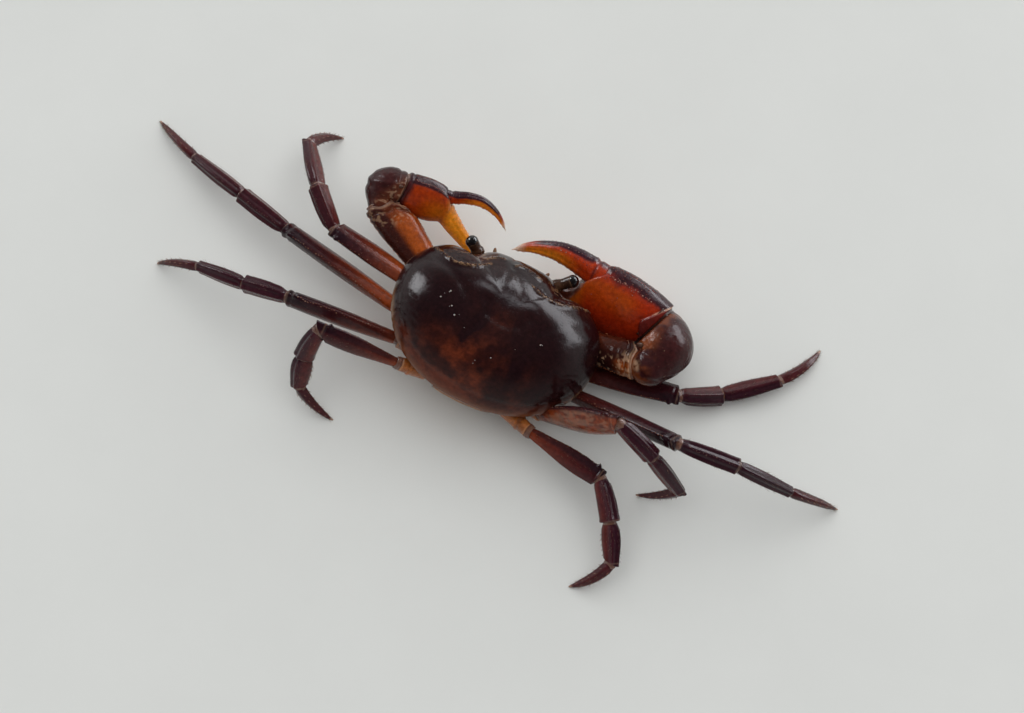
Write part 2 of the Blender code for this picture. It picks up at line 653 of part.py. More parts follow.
def main():
    clear_scene()
    mats = {
        "shell": material("shell", (0.045, 0.018, 0.018), 0.25, 0.8),
        "under": material("under_shell", (0.30, 0.14, 0.06), 0.45, 0.3),
        "merus": material("leg_upper", (0.16, 0.045, 0.03), 0.35, 0.6),
        "limb": material("leg_outer", (0.09, 0.022, 0.03), 0.35, 0.6),
        "coxa": material("leg_root", (0.30, 0.11, 0.04), 0.4, 0.4),
        "palm": material("claw_palm", (0.34, 0.06, 0.015), 0.3, 0.7),
        "finger": material("claw_finger", (0.40, 0.08, 0.02), 0.3, 0.7),
        "carpus": material("claw_elbow", (0.09, 0.02, 0.02), 0.3, 0.7),
        "arm": material("claw_arm", (0.28, 0.09, 0.03), 0.35, 0.5),
        "stalk": material("eye_stalk", (0.10, 0.05, 0.03), 0.35, 0.5),
        "eye": material("eye_surface", (0.01, 0.01, 0.012), 0.08, 1.0),
        "mouth": material("mouth_plate", (0.26, 0.12, 0.06), 0.45, 0.3),
        "feeler": material("feeler", (0.28, 0.13, 0.07), 0.5, 0.2),
    }
    shell = build_shell(mats["shell"])
    sternum = build_sternum(mats["under"])
    build_abdomen(mats["under"])
    under_cutters, shell_cutters = [], []
    for name in ("left", "right"):
        build_maxilliped(name, mats["mouth"])
        under_cutters.append(build_maxilliped(name, mats["mouth"], 2 * GAP))
        shell_cutters.append(build_eye(name, mats["stalk"], mats["eye"]))
        build_antenna(name, mats["feeler"])
        build_claw(name, mats, under_cutters, shell_cutters)
        for leg in (1, 2, 3, 4):
            build_leg(leg, name, mats, under_cutters, shell_cutters)
    for c in under_cutters:
        subtract(sternum, c)
    for c in shell_cutters:
        subtract(shell, c)
    stand_on_origin()


main()
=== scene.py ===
"""Freshwater crab, life size, as a still model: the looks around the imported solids."""
import bpy
import math
import numpy as np
from mathutils import Matrix, Vector


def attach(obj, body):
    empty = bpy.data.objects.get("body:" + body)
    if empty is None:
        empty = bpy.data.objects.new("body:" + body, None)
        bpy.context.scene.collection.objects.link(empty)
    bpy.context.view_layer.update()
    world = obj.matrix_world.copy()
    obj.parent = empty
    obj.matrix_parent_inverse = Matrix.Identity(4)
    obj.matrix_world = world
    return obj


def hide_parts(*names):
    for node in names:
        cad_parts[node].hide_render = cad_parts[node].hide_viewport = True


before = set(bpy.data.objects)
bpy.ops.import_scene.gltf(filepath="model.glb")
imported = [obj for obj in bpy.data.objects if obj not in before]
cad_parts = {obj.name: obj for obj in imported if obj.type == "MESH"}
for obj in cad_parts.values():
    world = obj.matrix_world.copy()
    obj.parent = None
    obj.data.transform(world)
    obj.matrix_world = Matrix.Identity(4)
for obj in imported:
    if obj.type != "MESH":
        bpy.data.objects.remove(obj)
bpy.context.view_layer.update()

# ------------------------------------------------------------------ sizes shared with the solids (mm)
CARAPACE_WIDTH = 25.0
CARAPACE_LENGTH = 18.2
DOME_HEIGHT = 6.0
FRONT_DROP = 0.8
SEAM = -2.0
BODY_DEPTH = 5.7
GAP = 0.12
MARGIN_HEIGHT = 7.8
BODY_SHIFT_X = 2.24
BODY_SHIFT_Y = -0.07
BODY_ROLL = 12.0
BODY_PITCH = 7.0
TIP_LIFT = 0.30
LEG_LENGTHS = {
    1: (12.0, 5.5, 7.0, 6.5),
    2: (17.0, 7.1, 8.1, 7.4),
    3: (13.6, 5.7, 6.5, 6.95),
    4: (10.1, 5.0, 4.7, 6.0),
}
LEG_GIRTH = {1: 0.98, 2: 1.02, 3: 0.98, 4: 0.96}
LEG_ROOTS = {
    (1, "left"): (9.6, -2.0, -2.9), (1, "right"): (11.2, -1.2, -3.1),
    (2, "left"): (10.9, 1.4, -2.9), (2, "right"): (10.9, 1.9, -2.9),
    (3, "left"): (9.5, 4.9, -2.8), (3, "right"): (9.0, 5.7, -2.9),
    (4, "left"): (8.2, 7.6, -2.6), (4, "right"): (8.4, 8.5, -2.2),
}
COXA_ROOTS = {1: (6.0, -1.4, -4.0), 2: (6.3, 1.6, -4.0), 3: (5.9, 4.4, -3.9), 4: (5.0, 6.8, -3.5)}
COXA_GIRTH = {1: 1.0, 2: 1.0, 3: 0.98, 4: 0.84}
LEG_POSE = {
    (1, "left"): ((13.5, 3.6), (47.3, 2.7), (56.3, -22.5), (123.4, -47.0)),
    (1, "right"): ((5.7, 4.5), (29.0, -22.2), (35.0, 3.4), (60.4, -11.6)),
    (2, "left"): ((16.8, -8.9), (19.0, -6.7), (20.2, -12.6), (28.1, -14.6)),
    (2, "right"): ((-12.6, 29.8), (4.6, -18.0), (5.1, -35.3), (11.2, -35.0)),
    (3, "left"): ((0.0, -0.3), (0.2, -15.2), (4.5, -16.7), (-3.2, -34.1)),
    (3, "right"): ((-2.3, 46.5), (-17.5, -33.3), (-19.0, -49.9), (-168.9, -49.5)),
    (4, "left"): ((-4.4, 24.7), (-64.9, -56.6), (-91.9, -57.1), (-162.0, -38.1)),
    (4, "right"): ((-15.0, 7.5), (-56.0, -11.0), (-66.2, -24.0), (-135.4, -31.5)),
}
UPRIGHT_PULL = 0.30
MERUS_BULK = {(3, "right"): 0.28}
CLAWS = {
    "right": dict(root=(7.4, -4.2, -3.4), elbow=(-15.75, -2.9, 6.7), knob=(-16.4, -5.9, 6.2), wrist=(-14.45, -8.3, 5.0),
                  heading=(0.985, -0.165, -0.03), up=(-0.180, -0.597, 0.781), face=(0.89, -0.409, 0.203),
                  size=1.0, finger=1.0, slender=1.0, fixed=1.1, droop=(0.0, 0.0), lean=-0.10, arch=0.0,
                  upper=0.95, tuck=False, balls=(2.3, 3.3, 2.4)),
    "left": dict(root=(8.3, -4.1, -3.5), elbow=(19.95, -9.7, 7.6), knob=(20.1, -11.5, 7.9), wrist=(18.3, -11.85, 8.6),
                 heading=(-0.940, -0.051, -0.337), up=(-0.084, -0.709, 0.700), face=(-0.940, -0.051, -0.337),
                 size=0.62, finger=1.22, slender=0.82, fixed=1.4, droop=(0.6, -0.40), lean=0.0, arch=1.2,
                 upper=1.05, tuck=True, balls=(1.75, 2.35, 1.95)),
}
# palm, for a claw of size 1: along, centre height, half height, half thickness
PALM = {
    "right": ((-1.6, 0.3, 2.7, 1.8), (-0.4, 0.2, 3.2, 2.1), (1.4, -0.1, 3.95, 2.4), (4.4, -0.4, 4.65, 2.6),
              (7.0, -0.45, 4.55, 2.5), (8.7, -0.55, 3.95, 2.2), (9.7, -1.4, 2.6, 1.8)),
    "left": ((-1.6, 0.3, 2.7, 1.8), (-0.4, 0.2, 3.2, 2.1), (1.4, -0.1, 3.9, 2.4), (4.4, -0.05, 4.2, 2.6),
             (7.0, 0.05, 3.9, 2.5), (8.7, -0.05, 3.15, 2.2), (9.7, -1.1, 2.4, 1.8)),
}
FINGER_FIXED = ((10.6, -2.4, 1.60, 1.30), (12.5, -3.0, 1.30, 1.05), (14.4, -3.5, 1.05, 0.85),
                (16.0, -3.9, 0.72, 0.62), (17.2, -4.0, 0.35, 0.32))
FINGER_MOVING = ((-1.5, 0.0, 1.50, 1.30), (0.0, 0.0, 1.65, 1.35), (2.5, 0.50, 1.50, 1.20), (5.0, 0.60, 1.22, 1.00),
                 (7.4, 0.0, 0.88, 0.78), (9.2, -0.95, 0.58, 0.52), (10.3, -1.9, 0.32, 0.30))
HINGE = (8.7, 2.3)
EYE = dict(base={"left": (5.1, -7.75, 0.1), "right": (4.2, -7.85, 0.1)},
           tip={"left": (7.0, -8.55, 1.5), "right": (6.5, -9.4, 1.9)}, stalk=0.62, ball=0.76)
SHIFT = np.array((-4.2455215, -2.5735274, -0.03171758))
MM = 0.001
TAU = 2 * math.pi


# ------------------------------------------------------------------ numbers
def vec(*a):
    return np.array(a, float)


def unit(v):
    return v / (np.linalg.norm(v, axis=-1, keepdims=True) + 1e-12)


def smooth(x):
    x = np.clip(x, 0.0, 1.0)
    return x * x * (3.0 - 2.0 * x)


def lerp(a, b, u):
    return a + (b - a) * u


def power(v, p):
    return np.sign(v) * np.abs(v) ** p


def hump(x, middle, width):
    return np.exp(-((x - middle) / width) ** 2)


def turn(a, middle, width):
    """A hump on the circle of angles."""
    d = (a - middle + math.pi) % TAU - math.pi
    return np.exp(-(d / width) ** 2)


def steps(table, u):
    """The same piecewise easing that shapes the solids."""
    u = np.asarray(u, float)
    xs = np.array([k[0] for k in table], float)
    ys = np.array([k[1] for k in table], float)
    i = np.clip(np.searchsorted(xs, u, side="right") - 1, 0, len(xs) - 2)
    return ys[i] + (ys[i + 1] - ys[i]) * smooth((u - xs[i]) / (xs[i + 1] - xs[i]))


def spline(table, u):
    """A monotone cubic through the keys."""
    u = np.asarray(u, float)
    xs = np.array([k[0] for k in table], float)
    ys = np.array([k[1] for k in table], float)
    h = np.diff(xs)
    d = np.diff(ys) / h
    m = np.zeros(len(xs))
    m[0], m[-1] = d[0], d[-1]
    for i in range(1, len(xs) - 1):
        if d[i - 1] * d[i] > 0:
            m[i] = 2 * d[i - 1] * d[i] / (d[i - 1] + d[i])
    u = np.clip(u, xs[0], xs[-1])
    i = np.clip(np.searchsorted(xs, u, side="right") - 1, 0, len(xs) - 2)
    f = (u - xs[i]) / h[i]
    return ((1 + 2 * f) * (1 - f) ** 2 * ys[i] + f * (1 - f) ** 2 * h[i] * m[i]
            + f * f * (3 - 2 * f) * ys[i + 1] + f * f * (f - 1) * h[i] * m[i + 1])


def scatter(p, seed=0):
    """Smooth value noise between 0 and 1."""
    p = np.asarray(p, float)
    i = np.floor(p).astype(np.int64)
    f = p - i
    f = f * f * (3 - 2 * f)

    def corner(dx, dy, dz):
        n = ((i[..., 0] + dx) * 374761393 + (i[..., 1] + dy) * 668265263
             + (i[..., 2] + dz) * 1274126177 + seed * 144665) & 0xFFFFFFFF
        n = ((n ^ (n >> 13)) * 1274126177) & 0xFFFFFFFF
        return ((n ^ (n >> 16)) & 0xFFFF) / 65535.0

    out = 0.0
    for dx in (0, 1):
        wx = f[..., 0] if dx else 1 - f[..., 0]
        for dy in (0, 1):
            wy = f[..., 1] if dy else 1 - f[..., 1]
            for dz in (0, 1):
                wz = f[..., 2] if dz else 1 - f[..., 2]
                out = out + corner(dx, dy, dz) * wx * wy * wz
    return out


def fractal(p, octaves=3, seed=0):
    total, size, weight = 0.0, 1.0, 0.5
    for k in range(octaves):
        total = total + weight * scatter(p * size, seed + k)
        size, weight = size * 2.03, weight * 0.5
    return total / (1 - 0.5 ** octaves)


def near_line(x, y, line):
    """Distance from points to a line of corners in the plane, and how far along it."""
    best = np.full(np.shape(x), 1e9)
    along = np.zeros(np.shape(x))
    total = sum(math.dist(a, b) for a, b in zip(line, line[1:]))
    run = 0.0
    for (x0, y0), (x1, y1) in zip(line, line[1:]):
        dx, dy = x1 - x0, y1 - y0
        size = math.hypot(dx, dy)
        u = np.clip(((x - x0) * dx + (y - y0) * dy) / size ** 2, 0, 1)
        d = np.hypot(x - x0 - dx * u, y - y0 - dy * u)
        closer = d < best
        best = np.where(closer, d, best)
        along = np.where(closer, (run + u * size) / total, along)
        run += size
    return best, along


def soft_line(points, n):
    """Even points on a Catmull-Rom line through a few corners."""
    p = np.array(points, float)
    p = np.vstack([2 * p[0] - p[1], p, 2 * p[-1] - p[-2]])
    out = []
    for k in range(1, len(p) - 2):
        u = np.linspace(0, 1, 24, endpoint=False)[:, None]
        q0, q1, q2, q3 = p[k - 1], p[k], p[k + 1], p[k + 2]
        out.append(0.5 * (2 * q1 + (q2 - q0) * u + (2 * q0 - 5 * q1 + 4 * q2 - q3) * u * u
                          + (3 * q1 - q0 - 3 * q2 + q3) * u ** 3))
    out = np.vstack(out + [p[-2][None]])
    run = np.concatenate([[0], np.cumsum(np.linalg.norm(np.diff(out, axis=0), axis=1))])
    at = np.linspace(0, run[-1], n)
    return np.stack([np.interp(at, run, out[:, k]) for k in range(out.shape[1])], -1)


# ------------------------------------------------------------------ meshes
def grid_normals(P):
    n = np.cross(np.roll(P, -1, 1) - np.roll(P, 1, 1), np.gradient(P, axis=0))
    n = unit(n)
    out = P - P.mean(1, keepdims=True)
    sign = np.sign((n * out).sum(-1).sum())
    return n * (sign if sign else 1.0)


class Skin:
    """A grid of rings closed around, with places looked up on it by row and column."""

    def __init__(self, P, box=(0.02, 0.02, 0.96)):
        self.P = P
        self.N = grid_normals(P)
        R, C = P.shape[:2]
        step = np.linalg.norm(np.diff(P, axis=0), axis=-1).mean(1)
        self.run = np.concatenate([[0], np.cumsum(step)])
        girth = np.linalg.norm(P - np.roll(P, 1, 1), axis=-1).sum(1).max()
        k = box[2] / max(self.run[-1], girth)
        self.v = box[1] + self.run * k
        self.u0, self.du = box[0], girth * k / C
        self.k = k

    def at(self, r, c):
        R, C = self.P.shape[:2]
        r = np.clip(np.asarray(r, float), 0, R - 1.001)
        c = np.asarray(c, float) % C
        i, j = np.floor(r).astype(int), np.floor(c).astype(int) % C
        fr, fc = (r - i)[:, None], (c - np.floor(c))[:, None]
        j2 = (j + 1) % C

        def pick(A):
            return ((A[i, j] * (1 - fc) + A[i, j2] * fc) * (1 - fr)
                    + (A[i + 1, j] * (1 - fc) + A[i + 1, j2] * fc) * fr)

        uv = np.stack([self.u0 + c * self.du, np.interp(r, np.arange(R), self.v)], -1)
        return pick(self.P), unit(pick(self.N)), uv


class Bag:
    """Meshes joined into one piece, with three painted weights: warm, dark and pale."""
    KEYS = ("warm", "dark", "pale")

    def __init__(self):
        self.verts, self.q, self.t, self.uq, self.ut = [], [], [], [], []
        self.values = {k: [] for k in self.KEYS}
        self.count = 0

    def add(self, verts, quads, tris, uvq, uvt, **values):
        quads = np.asarray(quads, np.int64).reshape(-1, 4)
        tris = np.asarray(tris, np.int64).reshape(-1, 3)
        uvq = np.asarray(uvq, float).reshape(-1, 4, 2)
        uvt = np.asarray(uvt, float).reshape(-1, 3, 2)
        three = np.vstack([quads[:, [0, 1, 2]], quads[:, [0, 2, 3]], tris])
        a, b, c = verts[three[:, 0]], verts[three[:, 1]], verts[three[:, 2]]
        mid = verts.mean(0)
        if np.einsum("ij,ij->i", a - mid, np.cross(b - mid, c - mid)).sum() < 0:
            quads, uvq = quads[:, ::-1], uvq[:, ::-1]
            tris, uvt = tris[:, ::-1], uvt[:, ::-1]
        self.verts.append(verts)
        self.q.append(quads + self.count)
        self.t.append(tris + self.count)
        self.uq.append(uvq)
        self.ut.append(uvt)
        for k in self.KEYS:
            v = values.get(k, 0.0)
            self.values[k].append(np.broadcast_to(np.asarray(v, float).reshape(-1), (len(verts),))
                                  if np.size(v) in (1, len(verts)) else np.zeros(len(verts)))
        self.count += len(verts)

    def tube(self, P, cap0="flat", cap1="flat", skin=None, **values):
        """A grid of rings, closed at both ends by a flat cap or a tip point."""
        R, C = P.shape[:2]
        skin = skin or Skin(P)
        verts = P.reshape(-1, 3)
        r = np.arange(R - 1)[:, None]
        c = np.arange(C)[None, :]
        c2 = (c + 1) % C
        quads = np.stack([r * C + c, r * C + c2, (r + 1) * C + c2, (r + 1) * C + c], -1).reshape(-1, 4)
        u = skin.u0 + np.arange(C + 1) * skin.du
        v = skin.v
        one = np.ones((R - 1, 1))
        uq = np.stack([np.stack([one * u[:-1], v[:-1, None] * np.ones((1, C))], -1),
                       np.stack([one * u[1:], v[:-1, None] * np.ones((1, C))], -1),
                       np.stack([one * u[1:], v[1:, None] * np.ones((1, C))], -1),
                       np.stack([one * u[:-1], v[1:, None] * np.ones((1, C))], -1)], -2).reshape(-1, 4, 2)
        tris, ut, extra, owner = [], [], [], []
        for cap, row, dv in ((cap0, 0, -0.004), (cap1, R - 1, 0.004)):
            tip = P[row].mean(0) if isinstance(cap, str) else np.asarray(cap, float)
            k = R * C + len(extra)
            extra.append(tip)
            owner.append(row)
            a, b = row * C + np.arange(C), row * C + (np.arange(C) + 1) % C
            tri = np.stack([a, b, np.full(C, k)], -1)
            uv = np.stack([np.stack([u[:-1], np.full(C, v[row])], -1), np.stack([u[1:], np.full(C, v[row])], -1),
                           np.stack([(u[:-1] + u[1:]) / 2, np.full(C, v[row] + dv)], -1)], -2)
            if row == 0:
                tri, uv = tri[:, ::-1], uv[:, ::-1]
            tris.append(tri)
            ut.append(uv)
        verts = np.vstack([verts, np.array(extra)])
        full = {}
        for k, val in values.items():
            g = np.broadcast_to(np.asarray(val, float), (R, C)) if np.ndim(val) else np.full((R, C), float(val))
            full[k] = np.concatenate([g.reshape(-1), [g[o].mean() for o in owner]])
        self.add(verts, quads, np.vstack(tris), uq, np.vstack(ut), **full)
        return skin

    def beads(self, pos, nrm, size, uv, flat=0.7, cols=8, rows=4, **values):
        """Small rounded grains standing on a surface."""
        n = len(pos)
        if not n:
            return
        size = np.broadcast_to(size, (n,))
        helper = np.where(np.abs(nrm[:, 2:3]) < 0.9, vec(0, 0, 1), vec(1, 0, 0))
        t1 = unit(np.cross(nrm, helper))
        t2 = np.cross(nrm, t1)
        shape = []
        for k in range(1, rows + 1):
            lat = math.pi * (k / (rows + 1) - 0.5)
            for i in range(cols):
                shape.append((math.cos(lat) * math.cos(TAU * i / cols), math.cos(lat) * math.sin(TAU * i / cols), math.sin(lat)))
        shape += [(0, 0, -1), (0, 0, 1)]
        shape = np.array(shape)
        V = (pos[:, None] + size[:, None, None] * (t1[:, None] * shape[None, :, :1] + t2[:, None] * shape[None, :, 1:2]
                                                   + nrm[:, None] * shape[None, :, 2:] * flat))
        m = rows * cols
        quads = [(k * cols + i, k * cols + (i + 1) % cols, (k + 1) * cols + (i + 1) % cols, (k + 1) * cols + i)
                 for k in range(rows - 1) for i in range(cols)]
        tris = [((i + 1) % cols, i, m) for i in range(cols)] + [((rows - 1) * cols + i, (rows - 1) * cols + (i + 1) % cols, m + 1) for i in range(cols)]
        self.copies(V, quads, tris, uv, shape[:, :2] * 0.0015, **values)

    def copies(self, V, quads, tris, uv, patch, **values):
        n, m = V.shape[:2]
        base = (np.arange(n) * m)[:, None, None]
        quads = (np.array(quads)[None] + base).reshape(-1, 4) if len(quads) else np.zeros((0, 4), int)
        tris = (np.array(tris)[None] + base).reshape(-1, 3)
        spot = (uv[:, None] + patch[None]).reshape(-1, 2)
        spot = np.clip(spot, 0.001, 0.999)
        full = {}
        for k, val in values.items():
            val = np.asarray(val, float)
            full[k] = np.repeat(val, m) if val.ndim == 1 else np.full(n * m, float(val))
        self.add(V.reshape(-1, 3), quads, tris, spot[quads], spot[tris], **full)

    def spikes(self, pos, way, length, radius, uv, bend=None, curl=0.15, sides=5, floor=True, **values):
        """Tapered spines or bristles that start inside the surface."""
        n = len(pos)
        if not n:
            return
        length = np.broadcast_to(length, (n,))[:, None]
        radius = np.broadcast_to(radius, (n,))[:, None, None]
        way = unit(way)
        bend = np.zeros((n, 3)) if bend is None else bend
        helper = np.where(np.abs(way[:, 2:3]) < 0.9, vec(0, 0, 1), vec(1, 0, 0))
        t1 = unit(np.cross(way, helper))
        t2 = np.cross(way, t1)
        ang = TAU * np.arange(sides) / sides
        ring = t1[:, None] * np.cos(ang)[None, :, None] + t2[:, None] * np.sin(ang)[None, :, None]
        start = pos - way * length * 0.08
        rings = []
        for s, g in ((0.0, 1.0), (0.45, 0.72), (0.8, 0.38)):
            rings.append(start[:, None] + (way * length * s + bend * length * curl * s * s)[:, None] + ring * radius * g)
        tip = start + way * length + bend * length * curl
        V = np.concatenate(rings + [tip[:, None], start[:, None]], 1)
        if floor:
            V[..., 2] = np.maximum(V[..., 2], -SHIFT[2] + 0.002)
        quads = [(k * sides + i, k * sides + (i + 1) % sides, (k + 1) * sides + (i + 1) % sides, (k + 1) * sides + i)
                 for k in range(2) for i in range(sides)]
        m = 3 * sides
        tris = ([(2 * sides + i, 2 * sides + (i + 1) % sides, m) for i in range(sides)]
                + [((i + 1) % sides, i, m + 1) for i in range(sides)])
        patch = np.zeros((m + 2, 2))
        patch[:sides, 0] = np.cos(ang) * 0.0015
        patch[:sides, 1] = np.sin(ang) * 0.0015
        self.copies(V, quads, tris, uv, patch, **values)

    def piece(self, name, mat, nodes=()):
        verts = (np.vstack(self.verts) + SHIFT) * MM
        q, t = np.vstack(self.q), np.vstack(self.t)
        uq, ut = np.vstack(self.uq), np.vstack(self.ut)
        mesh = bpy.data.meshes.new(name)
        mesh.vertices.add(len(verts))
        mesh.vertices.foreach_set("co", verts.astype(np.float32).ravel())
        loops = np.concatenate([q.ravel(), t.ravel()])
        mesh.loops.add(len(loops))
        mesh.loops.foreach_set("vertex_index", loops.astype(np.int32))
        starts = np.concatenate([np.arange(len(q)) * 4, len(q) * 4 + np.arange(len(t)) * 3])
        mesh.polygons.add(len(starts))
        mesh.polygons.foreach_set("loop_start", starts.astype(np.int32))
        mesh.update(calc_edges=True)
        layer = mesh.uv_layers.new(name="OFBake")
        layer.data.foreach_set("uv", np.concatenate([uq.reshape(-1), ut.reshape(-1)]).astype(np.float32))
        for k in self.KEYS:
            a = mesh.attributes.new(k, "FLOAT", "POINT")
            a.data.foreach_set("value", np.clip(np.concatenate(self.values[k]), 0, 1).astype(np.float32))
        mesh.polygons.foreach_set("use_smooth", np.ones(len(starts), bool))
        mesh.materials.append(mat)
        mesh.validate()
        obj = bpy.data.objects.new(name, mesh)
        bpy.context.scene.collection.objects.link(obj)
        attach(obj, "root")
        if nodes:
            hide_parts(*nodes)
        return obj


# ------------------------------------------------------------------ materials
class Nodes:
    """Short ways to wire a material."""

    def __init__(self, name):
        self.mat = bpy.data.materials.new(name)
        self.mat.use_nodes = True
        self.tree = self.mat.node_tree
        self.bsdf = self.tree.nodes["Principled BSDF"]
        self.where = self.tree.nodes.new("ShaderNodeTexCoord").outputs["Object"]

    def link(self, a, b):
        self.tree.links.new(a, b)

    def scaled(self, s):
        n = self.tree.nodes.new("ShaderNodeMapping")
        n.inputs["Scale"].default_value = (s[0] * 1000, s[1] * 1000, s[2] * 1000) if isinstance(s, tuple) else (s * 1000,) * 3
        self.link(self.where, n.inputs["Vector"])
        return n.outputs["Vector"]

    def noise(self, scale, detail=3.0, rough=0.55, twist=0.0):
        n = self.tree.nodes.new("ShaderNodeTexNoise")
        n.inputs["Scale"].default_value = 1.0
        n.inputs["Detail"].default_value = detail
        n.inputs["Roughness"].default_value = rough
        n.inputs["Distortion"].default_value = twist
        self.link(self.scaled(scale), n.inputs["Vector"])
        return n.outputs["Fac"]

    def cells(self, scale, feature="F1", jitter=1.0):
        n = self.tree.nodes.new("ShaderNodeTexVoronoi")
        n.feature = feature
        n.inputs["Scale"].default_value = 1.0
        n.inputs["Randomness"].default_value = jitter
        self.link(self.scaled(scale), n.inputs["Vector"])
        return n.outputs["Distance"]

    def remap(self, value, a, b, c=0.0, d=1.0, kind="SMOOTHSTEP"):
        n = self.tree.nodes.new("ShaderNodeMapRange")
        n.interpolation_type = kind
        self.link(value, n.inputs["Value"])
        for key, x in (("From Min", a), ("From Max", b), ("To Min", c), ("To Max", d)):
            n.inputs[key].default_value = x
        return n.outputs["Result"]

    def weight(self, name):
        n = self.tree.nodes.new("ShaderNodeAttribute")
        n.attribute_name = name
        return n.outputs["Fac"]

    def math(self, op, a, b):
        n = self.tree.nodes.new("ShaderNodeMath")
        n.operation = op
        for socket, x in zip(n.inputs, (a, b)):
            if isinstance(x, (int, float)):
                socket.default_value = x
            else:
                self.link(x, socket)
        return n.outputs[0]

    def mix(self, fac, a, b, mode="MIX"):
        n = self.tree.nodes.new("ShaderNodeMix")
        n.data_type = "RGBA"
        n.blend_type = mode
        n.clamp_factor = True
        for key, x in ((0, fac), (6, a), (7, b)):
            socket = n.inputs[key]
            if isinstance(x, tuple):
                socket.default_value = (*x, 1.0)
            elif isinstance(x, (int, float)):
                socket.default_value = x
            else:
                self.link(x, socket)
        return n.outputs[2]

    def bump(self, height, distance, strength=1.0, under=None):
        n = self.tree.nodes.new("ShaderNodeBump")
        n.inputs["Strength"].default_value = strength
        n.inputs["Distance"].default_value = distance * MM
        self.link(height, n.inputs["Height"])
        if under is not None:
            self.link(under, n.inputs["Normal"])
        return n.outputs["Normal"]


def chitin(name, base, second, warm, dark, pale, rough=0.3, coat=0.35, ior=1.45, mottle=0.5, patch=0.30,
           soft=0.0, soft_color=(1.0, 0.3, 0.1), pits=0.5, wrinkle=0.5, coat_rough=0.08, speck_mix=0.10, spec=0.42):
    """Shell of a wet crab: mottled pigment, pits and fine wrinkles under a thin gloss."""
    m = Nodes(name)
    wide = m.noise(patch, 4.0, 0.6, 0.6)
    fine = m.noise(2.2, 3.0, 0.6)
    tiny = m.noise(7.0, 2.0, 0.6)
    color = m.mix(m.remap(wide, 0.5 - 0.18 / max(mottle, 0.01) * 0.5, 0.5 + 0.22, 0.0, mottle), base, second)
    color = m.mix(m.weight("warm"), color, warm)
    grain = m.remap(fine, 0.3, 0.7, 0.72, 1.25, "LINEAR")
    color = m.mix(m.weight("dark"), color, dark)
    shade = m.mix(1.0, color, (1.0, 1.0, 1.0), "MULTIPLY")
    n = m.tree.nodes.new("ShaderNodeVectorMath")
    n.operation = "SCALE"
    m.link(shade, n.inputs[0])
    m.link(grain, n.inputs["Scale"])
    speck = m.remap(m.cells(1.7), 0.0, 0.13, 1.0, 0.0)
    color = m.mix(m.math("MULTIPLY", speck, speck_mix), n.outputs[0], pale)
    color = m.mix(m.weight("pale"), color, pale)
    m.link(color, m.bsdf.inputs["Base Color"])
    m.link(m.remap(tiny, 0.25, 0.8, rough * 0.75, rough * 1.35, "LINEAR"), m.bsdf.inputs["Roughness"])
    m.bsdf.inputs["IOR"].default_value = ior
    m.bsdf.inputs["Specular IOR Level"].default_value = spec
    m.bsdf.inputs["Coat Weight"].default_value = coat
    m.bsdf.inputs["Coat Roughness"].default_value = coat_rough
    m.bsdf.inputs["Coat IOR"].default_value = 1.36
    if soft:
        m.bsdf.inputs["Subsurface Weight"].default_value = soft
        m.bsdf.inputs["Subsurface Radius"].default_value = soft_color
        m.bsdf.inputs["Subsurface Scale"].default_value = 0.0012
    pit = m.remap(m.cells(3.4), 0.05, 0.35, 0.0, 1.0)
    first = m.bump(pit, 0.022 * pits)
    second_bump = m.bump(m.noise(4.5, 4.0, 0.65), 0.035 * wrinkle, 1.0, first)
    third = m.bump(m.noise(1.1, 2.0, 0.5), 0.05 * wrinkle, 1.0, second_bump)
    m.link(third, m.bsdf.inputs["Normal"])
    m.link(third, m.bsdf.inputs["Coat Normal"])
    return m.mat


def membrane_look(name, base, second, rough=0.35):
    """Folded joint skin."""
    m = Nodes(name)
    color = m.mix(m.remap(m.noise(2.0, 4.0, 0.6, 0.4), 0.35, 0.65), base, second)
    color = m.mix(m.weight("dark"), color, (0.035, 0.009, 0.008))
    color = m.mix(m.weight("pale"), color, (0.62, 0.42, 0.30))
    m.link(color, m.bsdf.inputs["Base Color"])
    m.link(m.remap(m.noise(5.0), 0.3, 0.7, rough * 0.7, rough * 1.3), m.bsdf.inputs["Roughness"])
    m.bsdf.inputs["Subsurface Weight"].default_value = 0.25
    m.bsdf.inputs["Subsurface Radius"].default_value = (1.0, 0.4, 0.2)
    m.bsdf.inputs["Subsurface Scale"].default_value = 0.0006
    m.bsdf.inputs["Coat Weight"].default_value = 0.4
    m.bsdf.inputs["Coat Roughness"].default_value = 0.1
    m.link(m.bump(m.noise((3.0, 3.0, 3.0), 5.0, 0.7), 0.12), m.bsdf.inputs["Normal"])
    return m.mat


def cornea_look(name):
    """Black faceted eye under a clear gloss."""
    m = Nodes(name)
    color = m.mix(m.remap(m.noise(1.2), 0.4, 0.7), (0.003, 0.0022, 0.0028), (0.008, 0.005, 0.006))
    m.link(color, m.bsdf.inputs["Base Color"])
    m.link(m.remap(m.noise(3.0), 0.3, 0.7, 0.10, 0.2), m.bsdf.inputs["Roughness"])
    m.bsdf.inputs["IOR"].default_value = 1.38
    m.bsdf.inputs["Coat Weight"].default_value = 0.35
    m.bsdf.inputs["Coat Roughness"].default_value = 0.04
    m.link(m.bump(m.cells(11.0, jitter=0.3), 0.0012), m.bsdf.inputs["Normal"])
    return m.mat


def bristle_look(name):
    m = Nodes(name)
    color = m.mix(m.remap(m.noise(1.5), 0.35, 0.7), (0.10, 0.045, 0.02), (0.22, 0.11, 0.05))
    m.link(color, m.bsdf.inputs["Base Color"])
    m.link(m.remap(m.noise(4.0), 0.3, 0.7, 0.35, 0.5), m.bsdf.inputs["Roughness"])
    return m.mat


